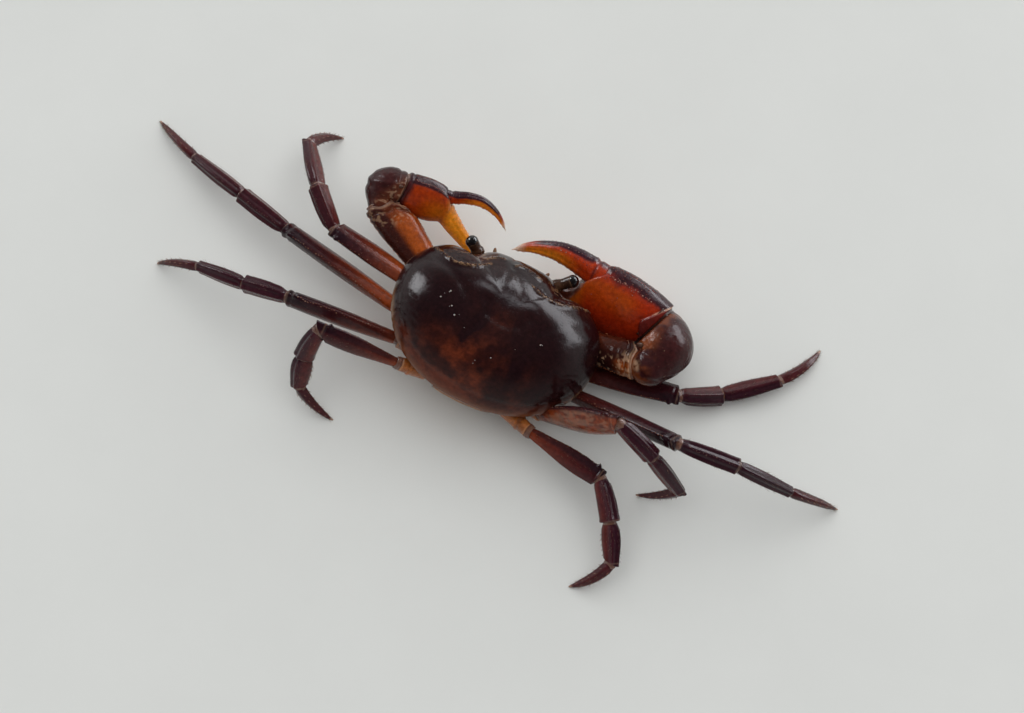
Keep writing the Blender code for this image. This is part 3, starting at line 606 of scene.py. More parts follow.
LOOK = {
    "shell": chitin("shell_look", (0.0122, 0.0035, 0.0048), (0.0215, 0.0056, 0.0054), (0.118, 0.023, 0.010),
                    (0.006, 0.0024, 0.0032), (0.36, 0.20, 0.10), rough=0.15, coat=0.05, ior=1.33, mottle=0.5, pits=0.30,
                    wrinkle=0.24, speck_mix=0.02, spec=0.30),
    "under": chitin("under_look", (0.30, 0.13, 0.055), (0.22, 0.085, 0.035), (0.36, 0.15, 0.05),
                    (0.09, 0.03, 0.018), (0.46, 0.27, 0.14), rough=0.42, coat=0.2, mottle=0.6, soft=0.08),
    "upper": chitin("leg_upper_look", (0.056, 0.0088, 0.0112), (0.031, 0.0060, 0.0100), (0.42, 0.072, 0.008),
                    (0.018, 0.0042, 0.0080), (0.48, 0.30, 0.20), rough=0.19, coat=0.12, ior=1.36, mottle=0.6, soft=0.02, spec=0.30),
    "outer": chitin("leg_outer_look", (0.056, 0.0085, 0.0150), (0.033, 0.0062, 0.0128), (0.28, 0.050, 0.014),
                    (0.019, 0.0045, 0.0100), (0.48, 0.30, 0.22), rough=0.19, coat=0.12, ior=1.36, mottle=0.6, soft=0.02, spec=0.30),
    "root": chitin("leg_root_look", (0.26, 0.080, 0.022), (0.13, 0.035, 0.014), (0.46, 0.14, 0.028),
                   (0.05, 0.014, 0.010), (0.56, 0.34, 0.20), rough=0.30, coat=0.25, ior=1.38, mottle=0.7, soft=0.08),
    "palm": chitin("claw_palm_look", (0.36, 0.0235, 0.0026), (0.23, 0.0125, 0.0026), (0.88, 0.285, 0.012),
                   (0.036, 0.0085, 0.0125), (0.70, 0.42, 0.30), rough=0.22, coat=0.12, ior=1.36, mottle=0.5, soft=0.05, spec=0.34),
    "finger": chitin("claw_finger_look", (0.42, 0.034, 0.004), (0.28, 0.020, 0.004), (0.80, 0.235, 0.014),
                     (0.036, 0.0085, 0.0160), (0.72, 0.56, 0.44), rough=0.25, coat=0.25, ior=1.36, mottle=0.4, soft=0.12),
    "elbow": chitin("claw_elbow_look", (0.046, 0.0095, 0.0095), (0.030, 0.0072, 0.0090), (0.36, 0.085, 0.015),
                    (0.021, 0.0070, 0.0090), (0.60, 0.38, 0.24), rough=0.22, coat=0.08, ior=1.36, mottle=0.6, spec=0.27),
    "arm": chitin("claw_arm_look", (0.19, 0.029, 0.005), (0.09, 0.014, 0.005), (0.47, 0.090, 0.006),
                  (0.030, 0.0080, 0.0085), (0.60, 0.36, 0.22), rough=0.27, coat=0.05, ior=1.36, mottle=0.7, soft=0.04, speck_mix=0.25, spec=0.24),
    "arm_right": chitin("claw_arm_right_look", (0.105, 0.015, 0.0045), (0.050, 0.0085, 0.0045), (0.47, 0.090, 0.006),
                        (0.018, 0.0050, 0.0050), (0.60, 0.36, 0.22), rough=0.14, coat=0.02, ior=1.33, mottle=0.7, soft=0.0,
                        speck_mix=0.2, spec=0.22),
    "stalk": chitin("eye_stalk_look", (0.024, 0.0085, 0.0062), (0.014, 0.0055, 0.0045), (0.16, 0.07, 0.03),
                    (0.009, 0.0045, 0.0045), (0.42, 0.26, 0.15), rough=0.22, coat=0.2, ior=1.36, mottle=0.6, spec=0.32),
    "mouth": chitin("mouth_look", (0.24, 0.10, 0.045), (0.15, 0.06, 0.03), (0.34, 0.15, 0.06),
                    (0.06, 0.025, 0.015), (0.46, 0.28, 0.16), rough=0.4, coat=0.2, mottle=0.6),
    "feeler": chitin("feeler_look", (0.16, 0.065, 0.03), (0.10, 0.04, 0.02), (0.30, 0.13, 0.06),
                     (0.06, 0.025, 0.015), (0.50, 0.32, 0.2), rough=0.4, coat=0.2, mottle=0.5, wrinkle=0.2, pits=0.1),
    "eye": cornea_look("eye_surface_look"),
    "membrane": membrane_look("joint_skin_look", (0.46, 0.21, 0.12), (0.30, 0.10, 0.05)),
    "fleck": membrane_look("fleck_look", (0.42, 0.36, 0.34), (0.26, 0.20, 0.18), 0.25),
    "bristle": bristle_look("bristle_look"),
}


# ------------------------------------------------------------------ body frame
def spin():
    p, r = math.radians(BODY_PITCH), math.radians(-BODY_ROLL)
    a = np.array([[1, 0, 0], [0, math.cos(p), -math.sin(p)], [0, math.sin(p), math.cos(p)]])
    b = np.array([[math.cos(r), 0, math.sin(r)], [0, 1, 0], [-math.sin(r), 0, math.cos(r)]])
    return a @ b


SPIN = spin()
CENTRE = vec(BODY_SHIFT_X, BODY_SHIFT_Y, MARGIN_HEIGHT)


def body(p):
    return np.asarray(p, float) @ SPIN.T + CENTRE


def side(p, name):
    return (p[0] if name == "left" else -p[0], p[1], p[2])


def outline(t):
    a, b = CARAPACE_WIDTH / 2, CARAPACE_LENGTH / 2
    x = a * power(np.cos(t), 2 / 2.35)
    y = -b * power(np.sin(t), 2 / 2.35)
    x = x * (1.0 - 0.096 * np.maximum(0.0, y / b + 0.25) ** 1.5)
    y = y + np.where(y < 0, 1.15 * np.exp(-((np.abs(x) - 6.1) / 1.7) ** 2), 0.0)
    return x, y


def margin_level(t):
    s = np.sin(t)
    return -1.0 * smooth((-s - 0.1) / 0.9) - 0.9 * smooth((s - 0.45) / 0.55)


def shell_base(t, r):
    x, y = outline(t)
    zm = margin_level(t)
    u = np.clip((r - 1.0) / 0.2, 0, 1)
    lip = np.stack([x * (1.0 - 0.10 * u ** 1.6), y * (1.0 - 0.07 * u ** 1.6), lerp(zm, SEAM, u)], -1)
    q = np.clip(r, 0, 1)
    dome = (1.0 - q ** 2.9) ** 0.56
    swell = 0.012 * CARAPACE_WIDTH * np.sin(math.pi * q ** 6) * np.abs(np.cos(t))
    xs = x + np.copysign(swell, x)
    ys = y * q - 0.9 * (1.0 - q)
    crown = DOME_HEIGHT - FRONT_DROP * smooth((-ys - 0.5) / 7.5)
    top = np.stack([xs * q, ys, zm + (crown - zm) * dome], -1)
    return np.where((r > 1.0)[..., None], lip, top)


# low crests behind the eyes and behind the front, in the body's plan (left, back)
CRESTS = {
    "right": ((-1.6, -4.75), (-2.6, -4.35), (-3.8, -4.05), (-4.9, -4.15), (-5.9, -4.45), (-7.1, -5.05), (-8.4, -5.85), (-9.4, -6.45)),
    "left": ((3.7, -5.5), (4.5, -4.6), (5.4, -4.0), (6.2, -3.75), (7.5, -3.6), (8.6, -4.1), (9.6, -4.75), (10.3, -5.4)),
}
LOBES = {
    "right": ((-2.3, -6.3), (-1.1, -6.75), (0.0, -7.0), (0.9, -6.8)),
    "left": ((2.4, -7.0), (3.3, -6.7), (4.2, -6.0)),
}


def shell_relief(x, y, r):
    """Height of the shell's grooves, regions and crests along its normal."""
    a = np.abs(x)
    h = 0.0
    skew = 1.1 * smooth((-y - 1.0) / 5.5)
    c = np.abs(x - skew)
    # groove between the stomach and the gill regions
    d, u = near_line(c, y, ((9.8, -3.6), (7.6, -2.6), (5.6, -0.9), (3.9, 0.7), (3.0, 1.4)))
    h = h - 0.085 * np.exp(-(d / 0.60) ** 2) * smooth(1.3 - u)
    # letter-H groove around the heart region
    d, u = near_line(c, y, ((2.5, -0.5), (2.0, 0.8), (2.3, 2.2), (3.2, 3.8), (3.7, 5.6)))
    h = h - 0.13 * np.exp(-(d / 0.52) ** 2) * (1 - 0.75 * u)
    d, u = near_line(c, y, ((0.0, 1.35), (1.1, 1.15), (2.0, 0.8)))
    h = h - 0.08 * np.exp(-(d / 0.55) ** 2)
    # furrow from the front that forks over the stomach
    d, u = near_line(c, y, ((0.0, -8.6), (0.0, -6.3)))
    h = h - 0.12 * np.exp(-(d / 0.38) ** 2)
    d, u = near_line(c, y, ((0.0, -6.3), (0.8, -4.4), (1.3, -2.4)))
    h = h - 0.06 * np.exp(-(d / 0.50) ** 2) * (1 - 0.6 * u)
    # swollen regions
    h = h + 0.22 * np.exp(-((a - 7.6) / 3.0) ** 2 - ((y - 1.8) / 3.6) ** 2)
    h = h + 0.14 * np.exp(-((c - 3.4) / 1.9) ** 2 - ((y + 2.6) / 1.9) ** 2)
    h = h + 0.08 * np.exp(-(x / 1.3) ** 2 - ((y - 3.6) / 1.8) ** 2)
    # crests, steep towards the front
    for name in ("left", "right"):
        line = [tuple(p) for p in soft_line(CRESTS[name], 26)]
        d, u = near_line(x, y, line)
        ahead = np.zeros(np.shape(x)) + y
        mid = np.interp(x if name == "left" else -x,
                        [p[0] if name == "left" else -p[0] for p in line], [p[1] for p in line])
        ahead = smooth((mid - y) / 0.7)
        win = smooth(u / 0.1) * smooth((1.02 - u) / 0.1)
        broken = np.stack([x * 2.6, y * 2.6, np.zeros(np.shape(x))], -1)
        win = win * (0.55 + 0.9 * fractal(broken, 2, 77))
        h = h + 0.17 * np.exp(-(d / 0.30) ** 2) * win - 0.16 * ahead * np.exp(-(d / 1.1) ** 2) * win
        line = [tuple(p) for p in soft_line(LOBES[name], 12)]
        d, u = near_line(x, y, line)
        h = h + 0.15 * np.exp(-(d / 0.28) ** 2)
    # thin rim round the back and a shallow gutter inside it
    rear = smooth((y + 1.0) / 4.0)
    h = h + rear * (0.07 * np.exp(-((r - 1.0) / 0.012) ** 2) - 0.06 * np.exp(-((r - 0.955) / 0.018) ** 2))
    fore = 1.0 - rear
    h = h + fore * 0.05 * np.exp(-((r - 1.0) / 0.015) ** 2)
    return h


def dip(P, N, d, depth, width):
    """Sink a surface where it comes within width of something set into it."""
    w = smooth((width - d) / width)
    return P - N * (depth * w)[..., None]


def rod_distance(P, a, b, ra, rb):
    """Distance from points to a tapered rod with round ends."""
    ab = b - a
    u = np.clip(((P - a) @ ab) / (ab @ ab), 0, 1)
    q = a + ab * u[..., None]
    return np.linalg.norm(P - q, axis=-1) - (ra + (rb - ra) * u)


def stalk_ends(name):
    return body(side(EYE["base"][name], name)), body(side(EYE["tip"][name], name))


# ------------------------------------------------------------------ limbs
def heading(name, az, el):
    sx = 1.0 if name == "left" else -1.0
    a, e = math.radians(az), math.radians(el)
    return vec(sx * math.cos(e) * math.cos(a), -math.cos(e) * math.sin(a), math.sin(e))


def leg_frame(leg, name):
    pts = [body(side(LEG_ROOTS[(leg, name)], name))]
    dirs = [heading(name, az, el) for az, el in LEG_POSE[(leg, name)]]
    for d, length in zip(dirs, LEG_LENGTHS[leg]):
        pts.append(pts[-1] + d * length)
    pts[-1][2] = TIP_LIFT
    dirs[-1] = unit(pts[-1] - pts[-2])
    out = pts[-1] - pts[0]
    out[2] = 0
    normal = np.cross(unit(out), vec(0, 0, -1)) * UPRIGHT_PULL
    for d0, d1 in zip(dirs, dirs[1:]):
        normal = normal + np.cross(d0, d1)
    return pts, dirs, unit(normal)


LIMB = {
    "coxa": (((0, 1.35), (0.5, 1.35), (1, 1.10)), ((0, 1.12), (0.5, 1.10), (1, 0.92))),
    "merus": (((0, 1.05), (0.18, 1.25), (0.55, 1.48), (1, 1.22)), ((0, 0.80), (0.5, 0.98), (1, 0.92))),
    "carpus": (((0, 0.92), (0.6, 1.16), (1, 1.22)), ((0, 0.80), (0.6, 0.98), (1, 0.94))),
    "propodus": (((0, 1.00), (0.4, 1.14), (1, 0.86)), ((0, 0.76), (0.4, 0.82), (1, 0.64))),
    "dactylus": (((0, 0.74), (0.3, 0.64), (0.65, 0.46), (0.9, 0.24), (1, 0.09)),
                 ((0, 0.58), (0.3, 0.50), (0.65, 0.37), (0.9, 0.20), (1, 0.08))),
}
BOW = {"coxa": 0.0, "merus": -0.05, "carpus": 0.15, "propodus": 0.05, "dactylus": 0.45}


def limb_relief(kind, U, A, P):
    """Edges, furrows and teeth of a segment, measured outward; U along, A around (0 is the upper edge)."""
    h = np.zeros(U.shape)
    if kind == "merus":
        h += 0.13 * turn(A, 0.0, 0.20) * smooth((U + 0.02) / 0.2)
        h -= 0.06 * (turn(A, 0.75, 0.35) + turn(A, -0.75, 0.35)) * smooth(U / 0.25)
        h += 0.06 * (turn(A, 2.5, 0.25) + turn(A, -2.5, 0.25))
        h += 0.34 * turn(A, 0.0, 0.22) * hump(U, 0.925, 0.022)
        h += 0.05 * (fractal(P * np.array((2.4, 2.4, 5.0)), 2, 3) - 0.5) * (0.4 + 0.6 * np.clip(np.cos(A), 0, 1))
        h -= 0.10 * hump(U, 0.955, 0.012) * smooth((np.cos(A) + 0.7))
    elif kind == "carpus":
        h += 0.13 * turn(A, 0.0, 0.22)
        h += 0.15 * (turn(A, 0.95, 0.17) + turn(A, -0.95, 0.17)) * smooth(U / 0.2)
        h -= 0.08 * (turn(A, 0.48, 0.18) + turn(A, -0.48, 0.18)) * smooth(U / 0.2)
        h -= 0.07 * (turn(A, 1.5, 0.3) + turn(A, -1.5, 0.3))
    elif kind == "propodus":
        h += 0.10 * turn(A, 0.0, 0.2) + 0.07 * turn(A, math.pi, 0.25)
        h += 0.09 * (turn(A, 1.05, 0.18) + turn(A, -1.05, 0.18))
        h -= 0.08 * (turn(A, 1.6, 0.22) + turn(A, -1.6, 0.22) + turn(A, 0.55, 0.2) + turn(A, -0.55, 0.2))
    elif kind == "dactylus":
        fade = smooth((1.0 - U) / 0.35)
        for m in (0.0, math.pi / 2, math.pi, -math.pi / 2):
            h += 0.07 * turn(A, m, 0.25) * fade
        for m in (math.pi / 4, 3 * math.pi / 4, -math.pi / 4, -3 * math.pi / 4):
            h -= 0.05 * turn(A, m, 0.25) * fade
    elif kind == "coxa":
        h += 0.06 * (fractal(P * 1.6, 2, 9) - 0.5)
        h += 0.08 * hump(U, 0.62, 0.04) - 0.10 * hump(U, 0.70, 0.03)
    return h


def limb_skin(kind, a, b, normal, girth, end0, end1, rows, cols, clip_floor=False, bulk=0.0, slim=0.0):
    """Rings from one joint plane to the next, with rolled ends. end = (point, outward normal) or None."""
    axis = b - a
    length = np.linalg.norm(axis)
    t = axis / length
    n = unit(normal - t * (normal @ t))
    up = np.cross(t, n)
    A = TAU * np.arange(cols) / cols
    c, s = power(np.cos(A), 2 / 2.3), power(np.sin(A), 2 / 2.3)
    keel = 0.10 if kind in ("merus", "propodus") else 0.0
    c = c * (1.0 + keel * np.maximum(0, np.cos(A)) ** 6)

    def place(U):
        bow = np.where((U > 0) & (U < 1), BOW[kind] * 4 * U * (1 - U), 0.0)
        fat = girth * (1 + bulk * np.sin(math.pi * np.clip(U, 0, 1))) * (1 - slim * (1 - smooth(U / 0.85)))
        hb, ht = spline(LIMB[kind][0], U) * fat, spline(LIMB[kind][1], U) * fat
        neck = 1.0
        if kind in ("carpus", "propodus", "dactylus"):
            neck = 1.0 - 0.14 * (1 - smooth(U * length / 0.9))
        if kind == "merus":
            neck = 1.0 - 0.10 * (1 - smooth(U * length / 0.8))
        if kind != "dactylus":
            neck = neck * (1.0 + 0.035 * hump((1 - U) * length, 0.25, 0.3))
        p = a + axis * U[..., None] + up * (bow + hb * c * neck)[..., None] + n * (ht * s * neck)[..., None]
        if kind == "dactylus":
            p = p - vec(0, 0, 1) * ((TIP_LIFT - 0.06) * smooth((U - 0.5) / 0.5))[..., None]
        return p

    u0, u1 = np.zeros(cols), np.ones(cols)
    roll = 0.10
    for _ in range(5):
        if end0:
            u0 = u0 - ((place(u0) - end0[0]) @ end0[1] + roll) / (t @ end0[1] * length)
        if end1:
            u1 = u1 - ((place(u1) - end1[0]) @ end1[1] + roll) / (t @ end1[1] * length)
    w = np.linspace(0, 1, rows)
    if kind == "dactylus":
        w = 1 - (1 - w) ** 1.25
    U = u0 + (u1 - u0) * w[:, None]
    P = place(U)
    out = unit(up * (c / 1.0)[..., None] + n * s[..., None])
    h = limb_relief(kind, U, np.broadcast_to(A, U.shape), P)
    ends = smooth(w[:, None] / 0.05) if end0 else 1.0
    P = P + out * (h * ends)[..., None]
    rings, rows_u = [P], [U]
    if end1:
        extra = rolled(P[-1], end1[1], roll)
        rings.append(extra)
        rows_u.append(np.repeat(U[-1][None], len(extra), 0))
    if end0:
        extra = rolled(P[0], end0[1], roll)[::-1]
        rings.insert(0, extra)
        rows_u.insert(0, np.repeat(U[0][None], len(extra), 0))
    P, U = np.concatenate(rings), np.concatenate(rows_u)
    if clip_floor:
        P[..., 2] = np.maximum(P[..., 2], -SHIFT[2])
    return P, U, A, (t, up, n, length)


def rolled(ring, way, radius):
    """Rings that round an end over and sink it into a shallow cup."""
    mid = ring.mean(0)
    spoke = ring - mid
    size = np.linalg.norm(spoke, axis=1, keepdims=True)
    out = []
    for k in (30, 60, 90):
        p = math.radians(k)
        out.append(mid + spoke * (1 - radius * (1 - math.cos(p)) / size) + way * radius * math.sin(p))
    for inset, down in ((0.16, 0.0), (0.24, 0.05), (0.30, 0.16), (0.55, 0.2)):
        out.append(mid + spoke * (1 - np.minimum(inset / size, 0.8)) + way * (radius - down))
    return np.array(out)


def fold(bag, a, d0, d1, n0, radius_up, radius_side, normal, reach=0.55, ripples=3, **values):
    """Joint skin: a short wrinkled sleeve that spans the gap between two segments."""
    cols, rows = 28, 17
    A = TAU * np.arange(cols) / cols
    P = []
    for i in range(rows):
        u = i / (rows - 1)
        s = (u - 0.5) * 2 * reach
        t = unit(d0 * (1 - u) + d1 * u)
        n = unit(normal - t * (normal @ t))
        up = np.cross(t, n)
        c = a + (d0 if s < 0 else d1) * s
        g = 1 + 0.035 * math.cos(u * ripples * TAU) - 0.10 * abs(2 * u - 1) ** 2
        P.append(c + up * (radius_up * g * power(np.cos(A), 2 / 2.2))[:, None] + n * (radius_side * g * power(np.sin(A), 2 / 2.2))[:, None])
    bag.tube(np.array(P), **values)


# ------------------------------------------------------------------ shell
def leg_rods(name):
    """Rods that stand for the bases of the limbs where the body makes room for them."""
    rods = []
    for leg in (1, 2, 3, 4):
        pts, dirs, normal = leg_frame(leg, name)
        g = LEG_GIRTH[leg]
        rods.append((pts[0] - dirs[0] * 0.8, pts[0] + dirs[0] * 0.45 * LEG_LENGTHS[leg][0], 1.12 * g, 1.22 * g))
        root = body(side(COXA_ROOTS[leg], name))
        rods.append((root, pts[0], 1.22 * COXA_GIRTH[leg], 1.05 * COXA_GIRTH[leg]))
    c = CLAWS[name]
    root, elbow = body(side(c["root"], name)), np.array(c["elbow"])
    rods.append((root, lerp(root, elbow, 0.6), 1.35 * c["upper"], 1.85 * c["upper"]))
    return rods


def disc_uv(P, t):
    """A round unwrap of a dome, seen from its crown."""
    step = np.linalg.norm(np.diff(P, axis=0), axis=-1).mean(1)
    run = np.concatenate([[0], np.cumsum(step)]) + 0.2
    run = run / run[-1] * 0.48
    return np.stack([0.5 + run[:, None] * np.cos(t), 0.5 + run[:, None] * np.sin(t)], -1)


def add_dome(bag, P, t, cap0, cap1, **values):
    """Like Bag.tube, with the round unwrap."""
    R, C = P.shape[:2]
    uv = disc_uv(P, t).reshape(-1, 2)
    r = np.arange(R - 1)[:, None]
    c = np.arange(C)[None, :]
    c2 = (c + 1) % C
    quads = np.stack([r * C + c, r * C + c2, (r + 1) * C + c2, (r + 1) * C + c], -1).reshape(-1, 4)
    extra = [P[0].mean(0) if isinstance(cap0, str) else cap0, P[-1].mean(0) if isinstance(cap1, str) else cap1]
    verts = np.vstack([P.reshape(-1, 3), np.array(extra)])
    first = np.stack([np.roll(np.arange(C), -1), np.arange(C), np.full(C, R * C)], -1)
    last = (R - 1) * C + np.arange(C)
    second = np.stack([last, np.roll(last, -1), np.full(C, R * C + 1)], -1)
    uv2 = np.vstack([uv, [[0.5, 0.5]], [[0.5, 0.5]]])
    ut = np.concatenate([uv2[first], uv2[second]])
    ut[C:, 2] = 0.5 + ((ut[C:, 0] + ut[C:, 1]) / 2 - 0.5) * 1.02
    full = {}
    for k, val in values.items():
        g = np.broadcast_to(np.asarray(val, float), (R, C))
        full[k] = np.concatenate([g.reshape(-1), [g[0].mean(), g[-1].mean()]])
    bag.add(verts, quads, np.concatenate([first, second]), uv[quads], ut, **full)
    return uv.reshape(R, C, 2)


def build_shell():
    cols = 600
    w = np.linspace(0.012, 1, 128)
    r = np.concatenate([1 - (1 - w) ** 1.9, 1 + 0.2 * np.linspace(0, 1, 15)[1:]])
    t = TAU * np.arange(cols) / cols
    T, R = np.meshgrid(t, r)
    B = shell_base(T, R)
    x, y = B[..., 0], B[..., 1]
    base = body(B)
    N = grid_normals(base)
    h = shell_relief(x, y, R)
    # fine unevenness, stronger towards the sides and the front
    rough = smooth((R - 0.45) / 0.5)
    h = h + 0.022 * rough * (fractal(B * 2.1, 3, 11) - 0.5) + 0.032 * (fractal(B * 0.55, 2, 5) - 0.5)
    # slanting lines on the hind flanks
    flank = smooth((y - 0.5) / 3.0) * smooth((np.abs(x) - 6.5) / 2.5) * smooth((R - 0.75) / 0.15)
    h = h + 0.02 * flank * np.sin((np.abs(x) * 0.8 + y * 2.2 + fractal(B * 0.8, 2, 3) * 2.0) * 4.2)
    P = base + N * h[..., None]
    for name in ("left", "right"):
        a, b = stalk_ends(name)
        d = rod_distance(P, a - (b - a) * 0.6, b, 0.74, 0.84)
        P = dip(P, N, d, 1.0, 0.45)
        for p, q, ra, rb in leg_rods(name):
            d = rod_distance(P, p, q, ra, rb)
            P = dip(P, N, d, 0.42, 0.34)
    # paint
    blot = fractal(B * 0.36, 3, 21)
    rear = smooth((y - 0.075 * x - 2.3) / 6.0)
    leftish = 0.24 + 0.84 * smooth((x + 5.0) / 9.5)
    fleck = fractal(B * 1.15, 3, 61)
    warm = rear * leftish * (0.16 + 0.95 * smooth((blot - 0.34) / 0.32)) * (0.62 + 0.7 * smooth((fleck - 0.35) / 0.3))
    skew = 1.1 * smooth((-y - 1.0) / 5.5)
    middle = np.exp(-((x - 0.6) / 2.4) ** 2) * smooth((y + 1.5) / 2.5)
    warm = warm + 0.17 * middle * smooth((blot - 0.30) / 0.3) * (0.6 + 0.7 * smooth((fleck - 0.35) / 0.3))
    d, u = near_line(np.abs(x - skew), y, ((2.5, -0.5), (2.0, 0.8), (2.3, 2.2), (3.2, 3.8), (3.7, 5.6)))
    warm = warm - 0.35 * np.exp(-(d / 0.5) ** 2)
    edge = smooth((R - 0.93) / 0.06) * smooth((y - 1.5) / 4.0)
    warm = np.clip(warm + 0.32 * edge, 0, 1)
    rim = np.exp(-((R - 1.003) / 0.014) ** 2) * smooth((y + 1.0) / 3.0) * (0.55 + 0.7 * fractal(B * 0.9, 2, 71))
    under = smooth((R - 1.03) / 0.06) * (0.15 + 0.85 * smooth((y + 1.0) / 4.0))
    warm = np.clip(warm + 0.7 * under, 0, 1)
    # pale broken lines along the crests and the lobes behind the eyes: partly their own pale grain, partly painted
    # highlight standing in for glints on their edges
    crest_pale_glint = np.zeros(R.shape)
    for lines, strength in ((CRESTS, 0.62), (LOBES, 0.45)):
        for name in ("left", "right"):
            line = [tuple(p) for p in soft_line(lines[name], 20)]
            d, u = near_line(x, y, line)
            crest_pale_glint = np.maximum(crest_pale_glint, strength * np.exp(-(d / 0.17) ** 2) * smooth((fractal(B * 3.4, 2, 31) - 0.44) / 0.16))
    orbit = np.exp(-((np.abs(x) - 6.0) / 2.4) ** 2 - ((y + 7.0) / 1.7) ** 2)
    warm = np.clip(warm + 0.55 * orbit * smooth((fractal(B * 1.3, 3, 41) - 0.30) / 0.35), 0, 1)
    pale = np.clip(0.70 * rim * (1 - 0.72 * smooth((y - 2.5) / 3.0)) + crest_pale_glint, 0, 1)
    warm = np.clip(warm + 0.55 * rim * smooth((y - 1.5) / 3.0), 0, 1)
    dark = np.clip(0.5 * smooth((-y - 5.0) / 3.0) * (1 - orbit), 0, 1)
    fine = smooth((fractal(B * 3.6, 2, 43) - 0.56) / 0.07)
    pale = np.clip(pale + 0.60 * orbit * fine * smooth((R - 0.7) / 0.1), 0, 1)
    bag = Bag()
    uv = add_dome(bag, P, t, body((0, -0.9, DOME_HEIGHT)) + N[0].mean(0) * float(h[0].mean()), "flat", warm=warm, dark=dark, pale=pale)
    # grains along the crests and the front side margins; the random pale on the crest and lobe grains is partly their
    # own pale grain, partly painted highlight
    rng = np.random.default_rng(7)
    flat_xy = B[: len(w), :, :2].reshape(-1, 2)
    flat_p, flat_n = P[: len(w)].reshape(-1, 3), N[: len(w)].reshape(-1, 3)
    flat_uv = uv[: len(w)].reshape(-1, 2)

    def grains(points, size, **values):
        pick = [int(np.argmin(((flat_xy - p) ** 2).sum(1))) for p in points]
        s = size * rng.uniform(0.7, 1.25, len(pick))
        bag.beads(flat_p[pick], flat_n[pick], s, flat_uv[pick], 0.75, **values)

    for name in ("left", "right"):
        line = soft_line(CRESTS[name], 54)
        grains(line + rng.normal(0, 0.07, line.shape), 0.095, warm=0.25, pale=0.75 * rng.uniform(0, 1, len(line)) ** 3)
        line = soft_line(LOBES[name], 18)
        grains(line + rng.normal(0, 0.09, line.shape), 0.08, warm=0.25, pale=0.7 * rng.uniform(0, 1, len(line)) ** 3)
    # small white flecks scattered over the back
    spots = vec(7.37, 1.2, 5.88, 1.74, 3.65, 3.5, 1.04, 6.06, -2.55, 3.37, -4.91, 1.56, 6.6, 0.2, 5.2, 2.6, -0.4, 5.2).reshape(-1, 2)
    pick = [int(np.argmin(((flat_xy - q) ** 2).sum(1))) for q in spots]
    flecks = Bag()
    flecks.beads(flat_p[pick], flat_n[pick], 0.095 * rng.uniform(0.5, 1.15, len(pick)), flat_uv[pick], 0.35)
    crumbs = spots[rng.integers(0, len(spots), 7)] + rng.normal(0, 0.32, (7, 2))
    near = [int(np.argmin(((flat_xy - q) ** 2).sum(1))) for q in crumbs]
    flecks.beads(flat_p[near], flat_n[near], 0.055 * rng.uniform(0.5, 1.3, len(near)), flat_uv[near], 0.35)
    flecks.piece("carapace_flecks", LOOK["fleck"], ())
    row = len(w) - 1
    ang = np.concatenate([np.radians(np.arange(12, 61, 1.7)), np.pi - np.radians(np.arange(12, 61, 1.7)),
                          np.radians(np.arange(66, 115, 1.8))])
    col = np.round(ang / TAU * cols).astype(int) % cols
    size = np.where(np.abs(np.cos(ang)) > 0.45, 0.125, 0.075) * rng.uniform(0.8, 1.2, len(col))
    bag.beads(P[row, col], N[row, col], size, uv[row, col], 0.8, warm=0.45, pale=rng.uniform(0.05, 0.3, len(col)))
    # rim of the orbits
    for name in ("left", "right"):
        base_ang = np.radians(np.arange(44, 72, 1.6))
        ang = base_ang if name == "left" else np.pi - base_ang
        col = np.round(ang / TAU * cols).astype(int) % cols
        row2 = np.full(len(col), len(w) - 9)
        bag.beads(P[row2, col], N[row2, col], 0.085, uv[row2, col], 0.8, warm=0.6, pale=rng.uniform(0.1, 0.45, len(col)))
    return bag.piece("carapace_shell", LOOK["shell"], ("carapace",))


# ------------------------------------------------------------------ under side
def under_scale(t, u):
    s = np.sin(t)
    front = smooth((s - 0.25) / 0.6)
    rear = smooth((-s - 0.3) / 0.6)
    bottom = 0.46 + 0.12 * rear
    return lerp(0.86 - 0.02 * front - 0.07 * rear, bottom, u ** 0.85) + 0.03 * front * np.sin(math.pi * u)


MOUTH_TOP, MOUTH_LOW = vec(0, -8.15, -2.7), vec(0, -4.6, -5.75)


def mouth_frame():
    axis = unit(MOUTH_LOW - MOUTH_TOP)
    out = np.cross(axis, vec(1, 0, 0))
    return axis, (-out if out[2] > 0 else out)


